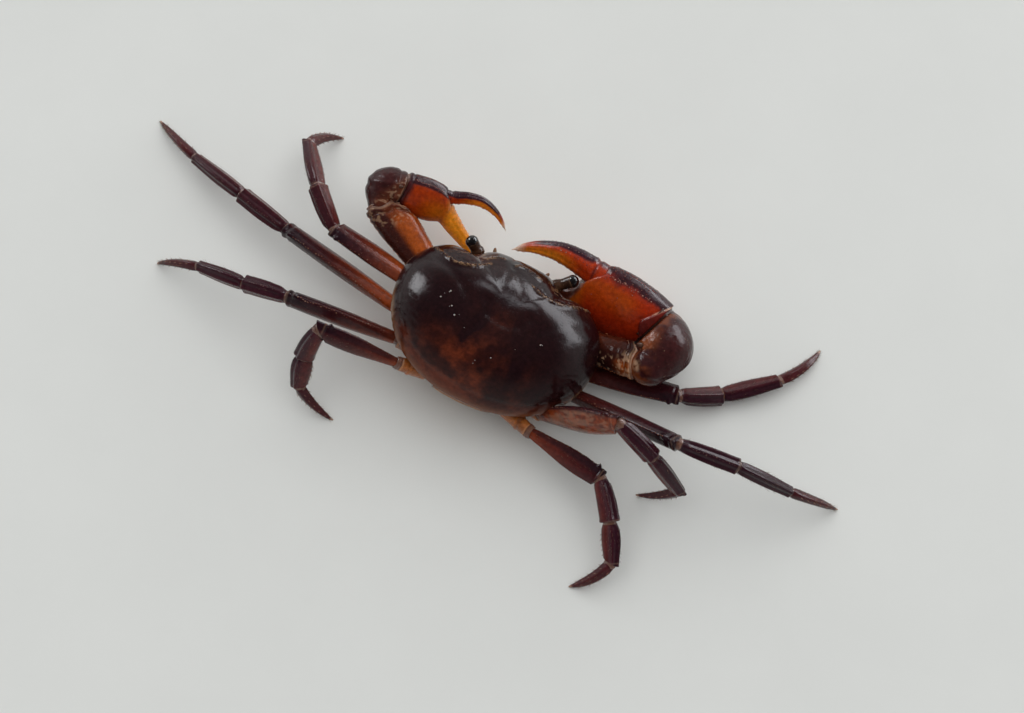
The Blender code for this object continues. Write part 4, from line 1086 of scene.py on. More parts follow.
def build_sternum():
    cols = 360
    t = TAU * np.arange(cols) / cols
    top, low = SEAM - 2 * GAP, -BODY_DEPTH
    s = np.concatenate([np.linspace(0, 1, 70), 1 + np.linspace(0, 0.97, 90)[1:]])
    T, S = np.meshgrid(t, s)
    u = np.clip(S, 0, 1)
    k = np.clip(S - 1, 0, 1)
    x, y = outline(T)
    g = under_scale(T, u) * (1 - k)
    B = np.stack([x * g, y * g + 0.9 * u, lerp(top, low, u) - 0.34 * smooth(k / 0.6)], -1)
    # round the lower edge
    for _ in range(14):
        inner = (B[:-2] + 2 * B[1:-1] + B[2:]) / 4
        near = np.exp(-((s[1:-1] - 1.0) / 0.13) ** 2)[:, None, None]
        B[1:-1] = lerp(B[1:-1], inner, near)
    base = body(B)
    N = grid_normals(base)
    N = np.where((N * (base - base.mean((0, 1)))).sum(-1, keepdims=True) < 0, -N, N)
    bx, by, bz = B[..., 0], B[..., 1], B[..., 2]
    a = np.abs(bx)
    h = np.zeros(T.shape)
    seams = np.zeros(T.shape)
    for y0 in (-3.3, -0.4, 2.4, 4.9, 6.9):
        line = y0 + 0.16 * a + 0.02 * (a - 3) ** 2
        win = smooth((a - 1.2) / 0.8)
        seams = np.maximum(seams, np.exp(-((by - line) / 0.17) ** 2) * win * smooth((S - 0.35) / 0.3))
        h += 0.10 * np.exp(-((by - line - 1.2) / 0.8) ** 2) * win * smooth((S - 0.6) / 0.3)
    h -= 0.17 * seams
    # trough for the tail plate
    width = np.interp(by, (-2.6, 0.5, 3.5, 6.5, 8.5), (1.2, 2.0, 2.9, 3.5, 3.8))
    trough = smooth((width + 0.25 - a) / 0.3) * smooth((by + 3.2) / 0.5) * smooth((S - 0.9) / 0.15)
    h -= 0.14 * trough
    # mouth frame
    axis, out = mouth_frame()
    rel = B - MOUTH_TOP
    along, height = rel @ axis, rel @ out
    L = np.linalg.norm(MOUTH_LOW - MOUTH_TOP)
    half = np.interp(along, (0, 0.5, 2.4, 4.0, L), (2.1, 2.6, 2.75, 2.35, 1.75))
    inside = smooth((half + 0.25 - a) / 0.25) * smooth((along + 0.35) / 0.25) * smooth((L + 0.3 - along) / 0.25) * (height > -1.6)
    front = by < -2.5
    h = h - 0.55 * inside * front
    h = h + 0.14 * np.exp(-((a - half - 0.42) / 0.16) ** 2) * smooth((along + 0.3) / 0.4) * smooth((L - along) / 0.6) * front
    # grain of the cheeks and flanks
    h += 0.05 * (fractal(B * 3.0, 3, 13) - 0.5)
    cheek = smooth((-by - 1.5) / 2.0) * (1 - inside)
    h += 0.05 * cheek * (smooth((scatter(B * 3.4, 5) - 0.45) / 0.3) - 0.3)
    P = base + N * h[..., None]
    for name in ("left", "right"):
        for p, q, ra, rb in leg_rods(name):
            P = dip(P, N, rod_distance(P, p, q, ra, rb), 0.45, 0.35)
    warm = np.clip(0.4 * fractal(B * 0.5, 2, 8), 0, 1)
    dark = np.clip(0.65 * seams + 0.45 * cheek * fractal(B * 1.2, 2, 4) + 0.8 * smooth((0.25 - S) / 0.25) + 0.5 * inside * front, 0, 1)
    bag = Bag()
    add_dome(bag, P[::-1], t, "flat", "flat", warm=warm[::-1], dark=dark[::-1], pale=0.15 * smooth((S[::-1] - 1) / 0.3))
    return bag.piece("breast_plate", LOOK["under"], ("sternum",))


def build_abdomen():
    path = ((8.05, -2.75), (7.75, -3.9), (7.3, -5.3), (6.2, -6.35), (3.5, -6.5), (0.5, -6.5), (-2.2, -6.5))
    widths = (3.5, 3.6, 3.4, 3.2, 2.6, 1.7, 0.9)
    rows, cols = 150, 56
    line = soft_line([(y, z, w) for (y, z), w in zip(path, widths)], rows)
    y, z, w = line[:, 0], line[:, 1], line[:, 2]
    ty, tz = np.gradient(y), np.gradient(z)
    n = np.stack([np.zeros(rows), -tz, ty], -1)
    n = unit(n)
    s = np.linspace(0, 1, rows)
    A = TAU * np.arange(cols) / cols
    cx, sx = power(np.cos(A), 2 / 2.3), power(np.sin(A), 2 / 2.0)
    # seams between the six segments and the end plate
    cuts = (0.10, 0.22, 0.35, 0.49, 0.63, 0.78)
    seam = sum(np.exp(-((s - c) / 0.008) ** 2) for c in cuts)
    swell = sum(np.exp(-((s - c - 0.045) / 0.035) ** 2) for c in cuts)
    notch = sum(np.exp(-((s - c) / 0.012) ** 2) for c in cuts)
    w = w * (1 - 0.05 * notch) * (1 - smooth((s - 0.94) / 0.06) * 0.55) * (1 - 0.22 * (1 - smooth(s / 0.16)))
    thick = 0.36 + 0.06 * swell - 0.13 * seam
    B = (np.stack([np.zeros(rows), y, z], -1)[:, None] + vec(1, 0, 0) * (w[:, None] * cx)[..., None]
         + n[:, None] * ((thick[:, None] * sx))[..., None])
    # a low keel down the middle of the outer face
    B = B + n[:, None] * (0.05 * np.exp(-(w[:, None] * cx / 0.7) ** 2) * np.sign(sx) * (np.abs(sx) > 0.5))[..., None]
    P = body(B)
    bag = Bag()
    spot = fractal(B * 1.4, 3, 19)
    dark = np.clip((0.75 * np.clip(seam, 0, 1))[:, None] + 0.40 * smooth((np.abs(cx) - 0.80) / 0.18)
                   + 0.45 * smooth((spot - 0.46) / 0.14) * (1 - smooth(s / 0.5))[:, None] + 0.35 * (1 - smooth(s / 0.14))[:, None], 0, 1)
    pale = (0.22 * np.clip(swell, 0, 1))[:, None] * smooth((0.62 - spot) / 0.2)
    skin = bag.tube(P, warm=0.40 + 0.4 * fractal(B * 0.7, 2, 6), dark=dark, pale=pale)
    return bag.piece("tail_plate", LOOK["under"], ("abdomen",)), skin


def build_mouth(name):
    axis, out = mouth_frame()
    sx = 1 if name == "left" else -1
    rows, cols = 90, 64
    u = np.linspace(0, 1, rows)
    w = spline(((0.0, 1.9), (0.12, 2.35), (0.5, 2.5), (0.85, 2.1), (1.0, 1.5)), u)
    A = TAU * np.arange(cols) / cols
    cx, cy = power(np.cos(A), 2 / 4.0), power(np.sin(A), 2 / 2.6)
    x0 = 0.15
    mid, half = (x0 + w) / 2, (w - x0) / 2
    ends = np.sqrt(np.clip(1 - (np.abs(2 * u - 1)) ** 14, 0.02, 1))
    X = mid[:, None] + half[:, None] * cx * ends[:, None]
    lift = 0.37 * cy * ends[:, None]
    cut = np.exp(-((u - 0.40) / 0.010) ** 2)[:, None]
    palm_side = cy > 0.2
    groove = np.exp(-((X - (x0 + 0.62 * (w[:, None] - x0))) / 0.16) ** 2) * smooth((u[:, None] - 0.46) / 0.05) * smooth((0.95 - u[:, None]) / 0.1)
    h = (-0.14 * cut - 0.13 * groove + 0.08 * np.exp(-((u[:, None] - 0.2) / 0.12) ** 2)) * palm_side
    c = MOUTH_TOP + axis * (np.linalg.norm(MOUTH_LOW - MOUTH_TOP) * u[:, None])
    B = c[:, None] + out * (lift + h)[..., None]
    B = B + vec(1, 0, 0) * X[..., None]
    B = B + out * (0.03 * (fractal(B * 3.2, 2, 17) - 0.5) * palm_side)[..., None]
    B[..., 0] *= sx
    bag = Bag()
    skin = bag.tube(body(B), warm=0.3 * fractal(B, 2, 2), dark=np.clip(0.8 * cut + 0.7 * groove + 0 * X, 0, 1), pale=0.1)
    # folded palp of three short segments
    L = np.linalg.norm(MOUTH_LOW - MOUTH_TOP)
    spots = [MOUTH_TOP + vec(1.75, 0, 0) + axis * 0.15 * L + out * 0.42, MOUTH_TOP + vec(0.95, 0, 0) + axis * 0.10 * L + out * 0.62,
             MOUTH_TOP + vec(0.62, 0, 0) + axis * 0.30 * L + out * 0.60, MOUTH_TOP + vec(0.60, 0, 0) + axis * 0.52 * L + out * 0.50]
    for a, b, ra, rb in zip(spots, spots[1:], (0.30, 0.27, 0.22), (0.27, 0.23, 0.09)):
        bag.tube(body(mirror(capsule(a, b, ra, rb, 18, 20), sx)), warm=0.35)
    # outer branch beside the plate
    a = MOUTH_TOP + vec(2.72, 0, 0) + axis * 0.10 * L + out * 0.05
    b = MOUTH_LOW + vec(2.05, 0, 0) - axis * 0.2 + out * 0.05
    bag.tube(body(mirror(capsule(a, b, 0.16, 0.30, 18, 36), sx)), warm=0.2, dark=0.1)
    return bag.piece("mouth_plate_" + name, LOOK["mouth"], ("maxilliped_" + name,)), skin


def mirror(B, sx):
    B = B.copy()
    B[..., 0] *= sx
    return B


def capsule(a, b, ra, rb, cols, rows, bend=None):
    """A rounded rod as a grid of rings."""
    a, b = np.asarray(a, float), np.asarray(b, float)
    t = unit(b - a)
    helper = vec(0, 0, 1) if abs(t[2]) < 0.9 else vec(1, 0, 0)
    n = unit(np.cross(t, helper))
    m = np.cross(t, n)
    A = TAU * np.arange(cols) / cols
    L = np.linalg.norm(b - a)
    P = []
    for i in range(rows):
        u = i / (rows - 1)
        phi = math.pi * u
        s = L * smooth(u)
        r = lerp(ra, rb, float(smooth(u)))
        start, end = ra, rb
        # round ends over the first and last eighth
        e = min(u / 0.12, (1 - u) / 0.12, 1.0)
        g = math.sqrt(max(0.0, 1 - (1 - e) ** 2)) if e < 1 else 1.0
        c = a + t * (L * u)
        if bend is not None:
            c = c + np.asarray(bend) * math.sin(phi)
        P.append(c + (n * np.cos(A)[:, None] + m * np.sin(A)[:, None]) * max(r * g, 0.01))
    return np.array(P)


def build_front():
    """The bar under the front and the two small folded feelers beneath it."""
    bag = Bag()
    A = TAU * np.arange(24) / 24
    rows = 90
    x = np.linspace(-5.2, 5.2, rows)
    B = []
    for v in x:
        a = abs(v)
        y = -8.02 + 0.055 * a * a * 0.6
        z = -2.42 - 0.12 * math.cos(v * 1.2)
        g = 1 - float(smooth((a - 4.4) / 0.8)) * 0.8
        hy = (0.34 + 0.10 * math.exp(-(a / 0.35) ** 2) + 0.05 * math.cos(v * 5.0)) * g
        hz = (0.26 + 0.04 * math.cos(v * 3.1)) * g
        B.append(np.stack([np.full(24, v), y + hy * np.cos(A), z + hz * np.sin(A)], -1))
    bag.tube(body(np.array(B)), warm=0.2, dark=0.25)
    for sx in (-1, 1):
        a, b, c = vec(0.75, -8.15, -1.95), vec(1.75, -8.62, -1.72), vec(2.35, -8.45, -2.12)
        bag.tube(body(mirror(capsule(a, b, 0.34, 0.24, 20, 30), sx)), warm=0.3)
        bag.tube(body(mirror(capsule(b, c, 0.20, 0.16, 16, 24), sx)), warm=0.4)
        bag.tube(body(mirror(capsule(c, vec(1.45, -8.75, -2.30), 0.13, 0.05, 12, 24), sx)), warm=0.5, pale=0.2)
    return bag.piece("front_bar", LOOK["mouth"], ())


def build_antenna(name):
    sx = 1 if name == "left" else -1
    a, b = vec(2.7, -8.7, -2.4), vec(3.5, -10.2, -1.9)
    rows, cols = 110, 24
    u = np.linspace(0, 1, rows)
    t = unit(b - a)
    n = unit(np.cross(t, vec(0, 0, 1)))
    up = np.cross(t, n)
    r = spline(((0.0, 0.40), (0.15, 0.47), (0.27, 0.43), (0.34, 0.27), (0.55, 0.25), (0.8, 0.22), (1.0, 0.12)), u)
    # two broad basal joints, then many short rings
    ringed = smooth((u - 0.36) / 0.04)
    r = r * (1 - 0.25 * np.exp(-((u - 0.18) / 0.012) ** 2) - 0.3 * np.exp(-((u - 0.345) / 0.012) ** 2))
    r = r * (1 + 0.07 * ringed * np.sin(u * TAU * 17))
    r = r * np.sqrt(np.clip(1 - ((u - 0.96) / 0.04).clip(0, 1) ** 2, 0.05, 1)) * np.sqrt(np.clip(1 - ((0.03 - u) / 0.03).clip(0, 1) ** 2, 0.1, 1))
    A = TAU * np.arange(cols) / cols
    c = a + (b - a) * u[:, None] + up * (0.35 * np.sin(math.pi * u))[:, None]
    B = c[:, None] + (up * np.cos(A)[:, None] + n * np.sin(A)[:, None])[None] * r[:, None, None]
    bag = Bag()
    bag.tube(body(mirror(B, sx)), warm=0.3, pale=np.broadcast_to((0.25 * ringed)[:, None], (rows, cols)))
    return bag.piece("feeler_" + name, LOOK["feeler"], ("antenna_" + name,))


def build_eye(name):
    a, b = stalk_ends(name)
    t = unit(b - a)
    n = unit(np.cross(t, vec(0, 0, 1)))
    up = np.cross(t, n)
    length = np.linalg.norm(b - a)
    ball = EYE["ball"]
    split = length - 1.15 * ball
    A = TAU * np.arange(64) / 64
    rows = 70
    u = np.linspace(0, 1, rows)
    g = EYE["stalk"] * spline(((0.0, 1.22), (0.25, 1.28), (0.55, 1.06), (0.8, 1.12), (1.0, 1.20)), u)
    # the stalk's shell reaches further along the cornea on its upper side
    reach = split * u[:, None] + 0.26 * ball * smooth((u[:, None] - 0.7) / 0.3) * (0.5 + 0.9 * np.clip(np.cos(A), 0, 1))
    P = a + t * reach[..., None] + (up * np.cos(A)[:, None] + n * np.sin(A)[:, None])[None] * g[:, None, None]
    P = P + unit(P - (a + t * reach[..., None])) * (0.03 * (fractal(P * 3.0, 2, 3) - 0.5))[..., None]
    inner = [P[-1] + (a + t * split - P[-1]) * k for k in (0.04, 0.12, 0.4)]
    P = np.concatenate([P, np.array(inner)])
    bag = Bag()
    pale = 0.18 * np.exp(-((np.linspace(0, 1.04, len(P)) - 0.97) / 0.05) ** 2)[:, None] + 0 * A
    warm = 0.35 * fractal(P * 1.1, 2, 7)
    skin = bag.tube(P, warm=warm, pale=pale, dark=0.3 * smooth((np.linspace(0, 1.04, len(P))[:, None] - 0.5) / 0.4) + 0 * A)
    rng = np.random.default_rng(3)
    n_g = 26
    p, nn, uv = skin.at(rng.uniform(8, 60, n_g), rng.uniform(0, 64, n_g))
    bag.beads(p, nn, rng.uniform(0.03, 0.055, n_g), uv, 0.6, warm=0.5, pale=0.25)
    bag.piece("eye_stem_" + name, LOOK["stalk"], ("eyestalk_" + name,))
    # cornea
    rows = 60
    c = a + t * (length - ball * 0.92)
    lat = np.linspace(-0.36 * math.pi, 0.497 * math.pi, rows)
    r = ball * 0.99 * np.cos(lat)
    s = ball * 0.92 * np.sin(lat)
    P = c + t * s[:, None, None] + (up * np.cos(A)[:, None] + n * np.sin(A)[:, None])[None] * r[:, None, None]
    bag = Bag()
    bag.tube(P, cap1=b, dark=0.0)
    return bag.piece("eye_ball_" + name, LOOK["eye"], ("eye_" + name,))


# ------------------------------------------------------------------ claws
def claw_frame(name):
    c = CLAWS[name]
    along = unit(np.array(c["heading"], float))
    up = np.array(c["up"], float)
    up = unit(up - along * (up @ along))
    return np.array(c["wrist"], float), along, up, np.cross(along, up), c


def claw_line(stations):
    """Stations drawn through with a smooth line, in order of their first number."""
    line = soft_line(stations, 400)
    return line[np.argsort(line[:, 0])]


def read_line(line, a):
    return [np.interp(a, line[:, 0], line[:, k]) for k in (1, 2, 3)]


def finger_stations(c):
    fixed, moving = [], []
    for a, b, hh, ht in FINGER_FIXED:
        a = 10.6 + (a - 10.6) * c["finger"]
        fixed.append((a, b + c["droop"][0] + c["droop"][1] * (a - 10.6), hh * c["fixed"], ht * c["fixed"]))
    for a, b, hh, ht in FINGER_MOVING:
        if a > 0:
            b += c["lean"] * a + c["arch"] * math.sin(math.pi * a / 10.8)
            a *= c["finger"]
        moving.append((a, b, hh * c["slender"], ht * c["slender"]))
    return fixed, moving


def teeth(a, spots):
    """Blunt cones along a biting edge: (place, width, height)."""
    h = np.zeros(np.shape(a))
    for place, width, height in spots:
        h = np.maximum(h, height * np.clip(1 - np.abs((a - place) / width) ** 1.5, 0, 1))
    return h


def tooth_row(first, last, rng, step=0.62, tall=0.20):
    spots, a, k = [], first, 0
    while a < last:
        big = 1.5 if k % 4 == 1 else 1.0
        fade = 1.0 - 0.55 * (a - first) / (last - first)
        spots.append((a, 0.30 * big * step / 0.62, tall * big * fade * rng.uniform(0.85, 1.15)))
        a += step * (0.85 + 0.35 * (big > 1)) * rng.uniform(0.9, 1.1)
        k += 1
    return spots


def finger_distance(P, name):
    """How far points lie from the root of the moving finger."""
    wrist, along, up, out, c = claw_frame(name)
    size = c["size"]
    fixed, moving = finger_stations(c)
    q = (P - wrist) / size
    a = q @ along - HINGE[0]
    b = q @ up - HINGE[1]
    o = q @ out
    mid, hh, ht = read_line(claw_line(moving), a)
    f = (np.abs((b - mid) / hh) ** 2.2 + np.abs(o / ht) ** 2.2) ** (1 / 2.2)
    d = np.maximum((f - 1) * np.minimum(hh, ht), -1.5 - a)
    return d * size


# the elbow's plate reaches over the root of the right palm: two planes, (normal, offset)
OVERLAP = (((-0.656, 0.708, -0.258), 1.30), ((-0.930, -0.367, 0.0), 14.55))


def overlap(P):
    """Positive under the elbow's plate."""
    a, b = (P @ unit(vec(*n)) - d for n, d in OVERLAP)
    return soft_min(a, b, 0.5), b


def palm_distance(P, name):
    """How far points lie from the palm."""
    wrist, along, up, out, c = claw_frame(name)
    q = (P - wrist) / c["size"]
    a, b, o = q @ along, q @ up, q @ out
    mid, hh, ht = read_line(claw_line(PALM[name]), a)
    f = (np.abs((b - mid) / hh) ** 2.2 + np.abs(o / ht) ** 2.2) ** (1 / 2.2)
    return np.maximum((f - 1) * np.minimum(hh, ht), -1.5 - a) * c["size"]


def claw_place(line, origin, a, A, name):
    """Surface points of a palm or finger at stations a and angles A."""
    wrist, along, up, out, c = claw_frame(name)
    size = c["size"]
    b, hh, ht = read_line(line, a)
    cs, sn = power(np.cos(A), 2 / 2.2), power(np.sin(A), 2 / 2.2)
    return (wrist + along * ((origin[0] + a) * size)[..., None] + up * ((origin[1] + b + hh * cs) * size)[..., None]
            + out * (ht * sn * size)[..., None])


def claw_surface(line, origin, a, A, name, relief):
    wrist, along, up, out, c = claw_frame(name)
    P = claw_place(line, origin, a, A, name)
    way = unit(up * np.cos(A)[..., None] + out * (np.sin(A) * 1.3)[..., None])
    return P + way * (relief(a, A, P) * c["size"])[..., None]


PALM_RING = {}


def sleeve(bag, ring, way, start, end, shrink0, shrink1, **values):
    """Joint skin between two plates, drawn from the rim of one of them."""
    mid = ring.mean(0)
    rows = 11
    rings = []
    for i in range(rows):
        u = i / (rows - 1)
        k = lerp(shrink0, shrink1, u) + 0.02 * math.cos(u * 3 * TAU)
        rings.append(mid + (ring - mid) * k + way * lerp(start, end, u))
    bag.tube(np.array(rings), **values)


def build_palm(name):
    wrist, along, up, out, c = claw_frame(name)
    size = c["size"]
    fixed, moving = finger_stations(c)
    line = claw_line([tuple(q) for q in PALM[name]] + fixed)
    face = unit(vec(*c["face"]))
    rng = np.random.default_rng(11 if name == "left" else 12)
    end = fixed[-1][0]
    rows, cols = (230, 120) if name == "right" else (200, 104)
    roll = 0.12
    ang = TAU * np.arange(cols) / cols
    first = np.zeros(cols)
    for _ in range(6):
        first = first - ((claw_place(line, (0, 0), first, ang, name) - wrist) @ face - GAP - roll) / ((along @ face) * size)
    AA = first + (end - first) * np.linspace(0, 1, rows)[:, None]
    TT = np.broadcast_to(ang, AA.shape)
    spots = tooth_row(9.9, end - 0.7, rng, 0.66, 0.20)

    def relief(a, A, P):
        h = 0.05 * (fractal(P / size * 1.1, 3, 4) - 0.5) + 0.025 * (fractal(P / size * 4.0, 2, 8) - 0.5)
        palm = smooth((9.5 - a) / 1.5)
        h = h + 0.10 * turn(A, 0.0, 0.16) * palm * smooth((a - 1.0) / 1.5)
        h = h - 0.06 * (turn(A, 0.42, 0.14) + turn(A, -0.42, 0.14)) * palm * smooth((a - 1.2) / 1.5)
        h = h + teeth(a, spots) * turn(A, 0.0, 0.42)
        finger = smooth((a - 9.0) / 1.8)
        h = h - 0.09 * (turn(A, 1.25, 0.20) + turn(A, -1.25, 0.20)) * finger * smooth((end - 0.8 - a) / 2)
        h = h + 0.04 * (turn(A, 0.85, 0.16) + turn(A, -0.85, 0.16)) * finger * smooth((end - 0.8 - a) / 2)
        rim = ((P - wrist) @ face - GAP) / size
        if name == "right":
            under, away = overlap(P)
            h = h + 0.30 * smooth((under + 0.03) / 0.14) - 0.08 * hump(under, -0.16, 0.13)
        else:
            h = h - 0.15 * hump(rim, 0.85, 0.22) + 0.04 * hump(rim, 0.40, 0.2)
        return h

    P = claw_surface(line, (0, 0), AA, TT, name, relief)
    N = grid_normals(P)
    d = finger_distance(P, name)
    P = dip(P, N, d, 0.42 * size, 0.34 * size)
    # draw the finger in to a point
    tip = wrist + along * ((end + 0.12) * size) + up * ((fixed[-1][1] + 0.04) * size)
    k = smooth((AA - (end - 0.9)) / 0.9) * 0.75
    mid = P.mean(1, keepdims=True)
    P = P + (mid - P) * k[..., None]
    ring = rolled(P[0], -face, roll)[::-1]
    P = np.concatenate([ring, P])
    AA = np.concatenate([np.repeat(AA[:1], len(ring), 0), AA])
    TT = np.concatenate([np.repeat(TT[:1], len(ring), 0), TT])
    near = np.concatenate([np.full((len(ring), cols), 9.0), d])
    grain = fractal(P * 0.8, 3, 15)
    top = np.cos(TT)
    palm = smooth((9.8 - AA) / 1.6)
    edge = 0.80 if name == "right" else 0.70
    if name == "right":
        edge = 0.75 + 0.17 * smooth((AA - 5.2) / 3.2)
        dark = smooth((top - edge + 0.26 * (grain - 0.5)) / 0.17) * palm
    else:
        dark = smooth((top - edge + 0.16 * (grain - 0.5)) / 0.09) * palm
    dark = np.maximum(dark, 0.55 * np.exp(-(near / 0.22) ** 2) * (near < 5))
    if name == "left":
        dark = np.maximum(dark, 0.92 * smooth((1.9 - AA + 0.8 * (grain - 0.5)) / 1.3))
    else:
        under, away = overlap(P)
        dark = np.maximum(dark, smooth((under + 0.05) / 0.12))
        # painted shade: the lower side of the right palm is darkened
        low = smooth((-top + 0.1) / 0.8) * palm
        dark = np.maximum(dark, 0.30 * low)
        # painted shadow: the root of the right fixed finger, in the shade under the front of the body, is painted dark
        fixed_finger_shadow = smooth((AA - 8.9 - 1.1 * (0.5 - top) + 0.8 * (grain - 0.5)) / 1.3)
        dark = np.maximum(dark, 0.88 * fixed_finger_shadow * smooth((top + 0.55) / 0.7) * smooth((end - 0.6 - AA) / 3.2))
        dark = np.where(under > -0.05, 0.55 + 0.3 * grain, dark)
    warm = smooth((AA - 7.5) / 3.5) * (0.36 if name == "right" else 1.0)
    if name == "left":
        warm = np.maximum(warm, 0.05 + 0.34 * smooth((AA - 2.5) / 6.0) * smooth((0.7 - top) / 0.9))
    else:
        warm = np.maximum(warm, 0.11 * smooth((top + 0.1) / 0.6) * smooth((0.9 - top) / 0.3) * smooth((AA - 1.0) / 3.0) * (0.6 + 0.8 * grain))
        warm = warm * (under < -0.05)
    pale = 0.8 * smooth((AA - (end - 1.3)) / 1.2)
    if name == "left":
        pale = np.maximum(pale, 0.02 * smooth((AA - 6.5) / 4.5))
    pale = np.maximum(pale, 0.35 * smooth(teeth(AA, spots) / 0.15) * turn(TT, 0.0, 0.35))
    if name == "right":
        pale = np.maximum(pale, 0.85 * hump(under, -0.08, 0.08) * smooth((away - 1.2) / 0.8))
    bag = Bag()
    skin = bag.tube(P, cap1=tip, warm=np.clip(warm, 0, 1), dark=np.clip(dark, 0, 1), pale=np.clip(pale, 0, 1))
    r0 = len(ring)
    PALM_RING[name] = P[r0 - 1]

    def row_of(place, col):
        start = np.interp(np.asarray(col) % cols, np.arange(cols), first)
        return r0 + (np.asarray(place) - start) / (end - start) * (rows - 1)

    # rows of grains on the upper margin
    for shift, count, size_g in ((0.0, 20, 0.10), (0.50, 22, 0.10), (-0.50, 22, 0.10)):
        place = np.linspace(1.3, 7.0, count) + rng.uniform(-0.08, 0.08, count)
        col = (shift + rng.normal(0, 0.025, count)) / TAU * cols
        p, n, uv = skin.at(row_of(place, col), col % cols)
        bag.beads(p, n, size_g * size * rng.uniform(0.7, 1.2, count), uv, 0.55, dark=0.6, pale=(0.30 if name == "right" else 0.5) * rng.uniform(0, 1, count) ** 4)
    n_g = 150
    place, ang = rng.uniform(1.5, 8.0, n_g), rng.normal(0, 0.55, n_g)
    col = (ang / TAU * cols) % cols
    p, n, uv = skin.at(row_of(place, col), col)
    keep = finger_distance(p, name) > 0.25
    bag.beads(p[keep], n[keep], 0.055 * size * rng.uniform(0.6, 1.3, keep.sum()), uv[keep], 0.5, dark=0.6, pale=rng.uniform(0, 0.25, keep.sum()))
    bag.piece("claw_hand_" + name, LOOK["palm"], ("claw_%s_palm" % name,))


def build_finger(name):
    wrist, along, up, out, c = claw_frame(name)
    size = c["size"]
    fixed, moving = finger_stations(c)
    rng = np.random.default_rng(21 if name == "left" else 22)
    end = moving[-1][0]
    rows, cols = (180, 88) if name == "right" else (150, 72)
    AA, TT = np.meshgrid(np.linspace(-1.45, end, rows), TAU * np.arange(cols) / cols, indexing="ij")
    spots = tooth_row(1.6, end - 0.7, rng, 0.60, 0.19)

    def relief(a, A, P):
        h = 0.03 * (fractal(P / size * 1.6, 3, 5) - 0.5) + 0.02 * (fractal(P / size * 5.0, 2, 9) - 0.5)
        h = h + teeth(a, spots) * turn(A, math.pi, 0.42)
        run = smooth((a + 0.2) / 1.2) * smooth((end - 0.6 - a) / 2)
        h = h + 0.06 * turn(A, 0.0, 0.20) * run
        h = h - 0.07 * (turn(A, 0.62, 0.17) + turn(A, -0.62, 0.17)) * run
        h = h - 0.08 * (turn(A, 1.7, 0.2) + turn(A, -1.7, 0.2)) * run
        h = h - 0.13 * hump(a, 0.10, 0.22) + 0.05 * hump(a, 0.55, 0.3)
        return h

    P = claw_surface(claw_line(moving), HINGE, AA, TT, name, relief)
    k = smooth((AA[:, 0] - (end - 0.9)) / 0.9) * 0.75 + smooth((-1.15 - AA[:, 0]) / 0.35) * 0.25
    mid = P.mean(1, keepdims=True)
    P = P + (mid - P) * k[:, None, None]
    tip = wrist + along * ((HINGE[0] + end + 0.10) * size) + up * ((HINGE[1] + moving[-1][1] - 0.06) * size)
    grain = fractal(P * 0.9, 3, 16)
    top = np.cos(TT)
    level = 0.66 if name == "right" else 0.12
    dark = smooth((top - level - (0.20 if name == "right" else 0.25) * smooth((1.5 - AA) / 1.5) + 0.2 * (grain - 0.5)) / 0.24) * smooth((end - 1.2 - AA) / 2.2)
    warm = smooth((AA - 1.0) / 5.0) * smooth((0.7 - top) / 0.8) * 0.9
    pale = 0.95 * smooth((AA - (end - 1.9)) / 1.6)
    pale = np.maximum(pale, 0.35 * smooth(teeth(AA, spots) / 0.15) * turn(TT, math.pi, 0.35))
    dark = np.maximum(dark, 0.6 * hump(AA, 0.08, 0.16))
    bag = Bag()
    skin = bag.tube(P, cap1=tip, warm=np.clip(warm, 0, 1), dark=np.clip(dark, 0, 1), pale=np.clip(pale, 0, 1))
    step = (end + 1.45) / (rows - 1)
    for shift, count in ((0.30, 17), (-0.30, 17), (0.95, 13), (-0.95, 13)):
        place = np.linspace(0.6, end - 2.8, count) + rng.uniform(-0.1, 0.1, count)
        col = (shift + rng.normal(0, 0.03, count)) / TAU * cols
        p, n, uv = skin.at((place + 1.45) / step, col % cols)
        bag.beads(p, n, 0.075 * size * rng.uniform(0.6, 1.25, count), uv, 0.5, dark=0.7, pale=0.6 * rng.uniform(0, 1, count) ** 4)
    bag.piece("claw_thumb_" + name, LOOK["finger"], ("claw_%s_finger" % name,))


def soft_min(a, b, k):
    h = np.clip(0.5 + 0.5 * (b - a) / k, 0, 1)
    return b + (a - b) * h - k * h * (1 - h)


def elbow_shape(name):
    """Balls strung on the curve elbow - knob - wrist, and the middle from which they are seen."""
    c = CLAWS[name]
    elbow, knob, wrist = (vec(*c[k]) for k in ("elbow", "knob", "wrist"))
    u = np.linspace(0, 1, 61)
    q = (elbow * ((1 - u) * (1 - 2 * u))[:, None] + knob * (4 * u * (1 - u))[:, None] + wrist * (u * (2 * u - 1))[:, None])
    r0, r1, r2 = c["balls"]
    return q, steps(((0.0, r0), (0.5, r1), (1.0, r2)), u), knob * 0.6 + (elbow + wrist) * 0.2


def ball_depth(P, q, g, grow=0.0):
    """How deep points lie in the string of balls."""
    best = np.full(P.shape[:-1], -1e9)
    for qi, gi in zip(q, g):
        best = np.maximum(best, gi + grow - np.linalg.norm(P - qi, axis=-1))
    return best


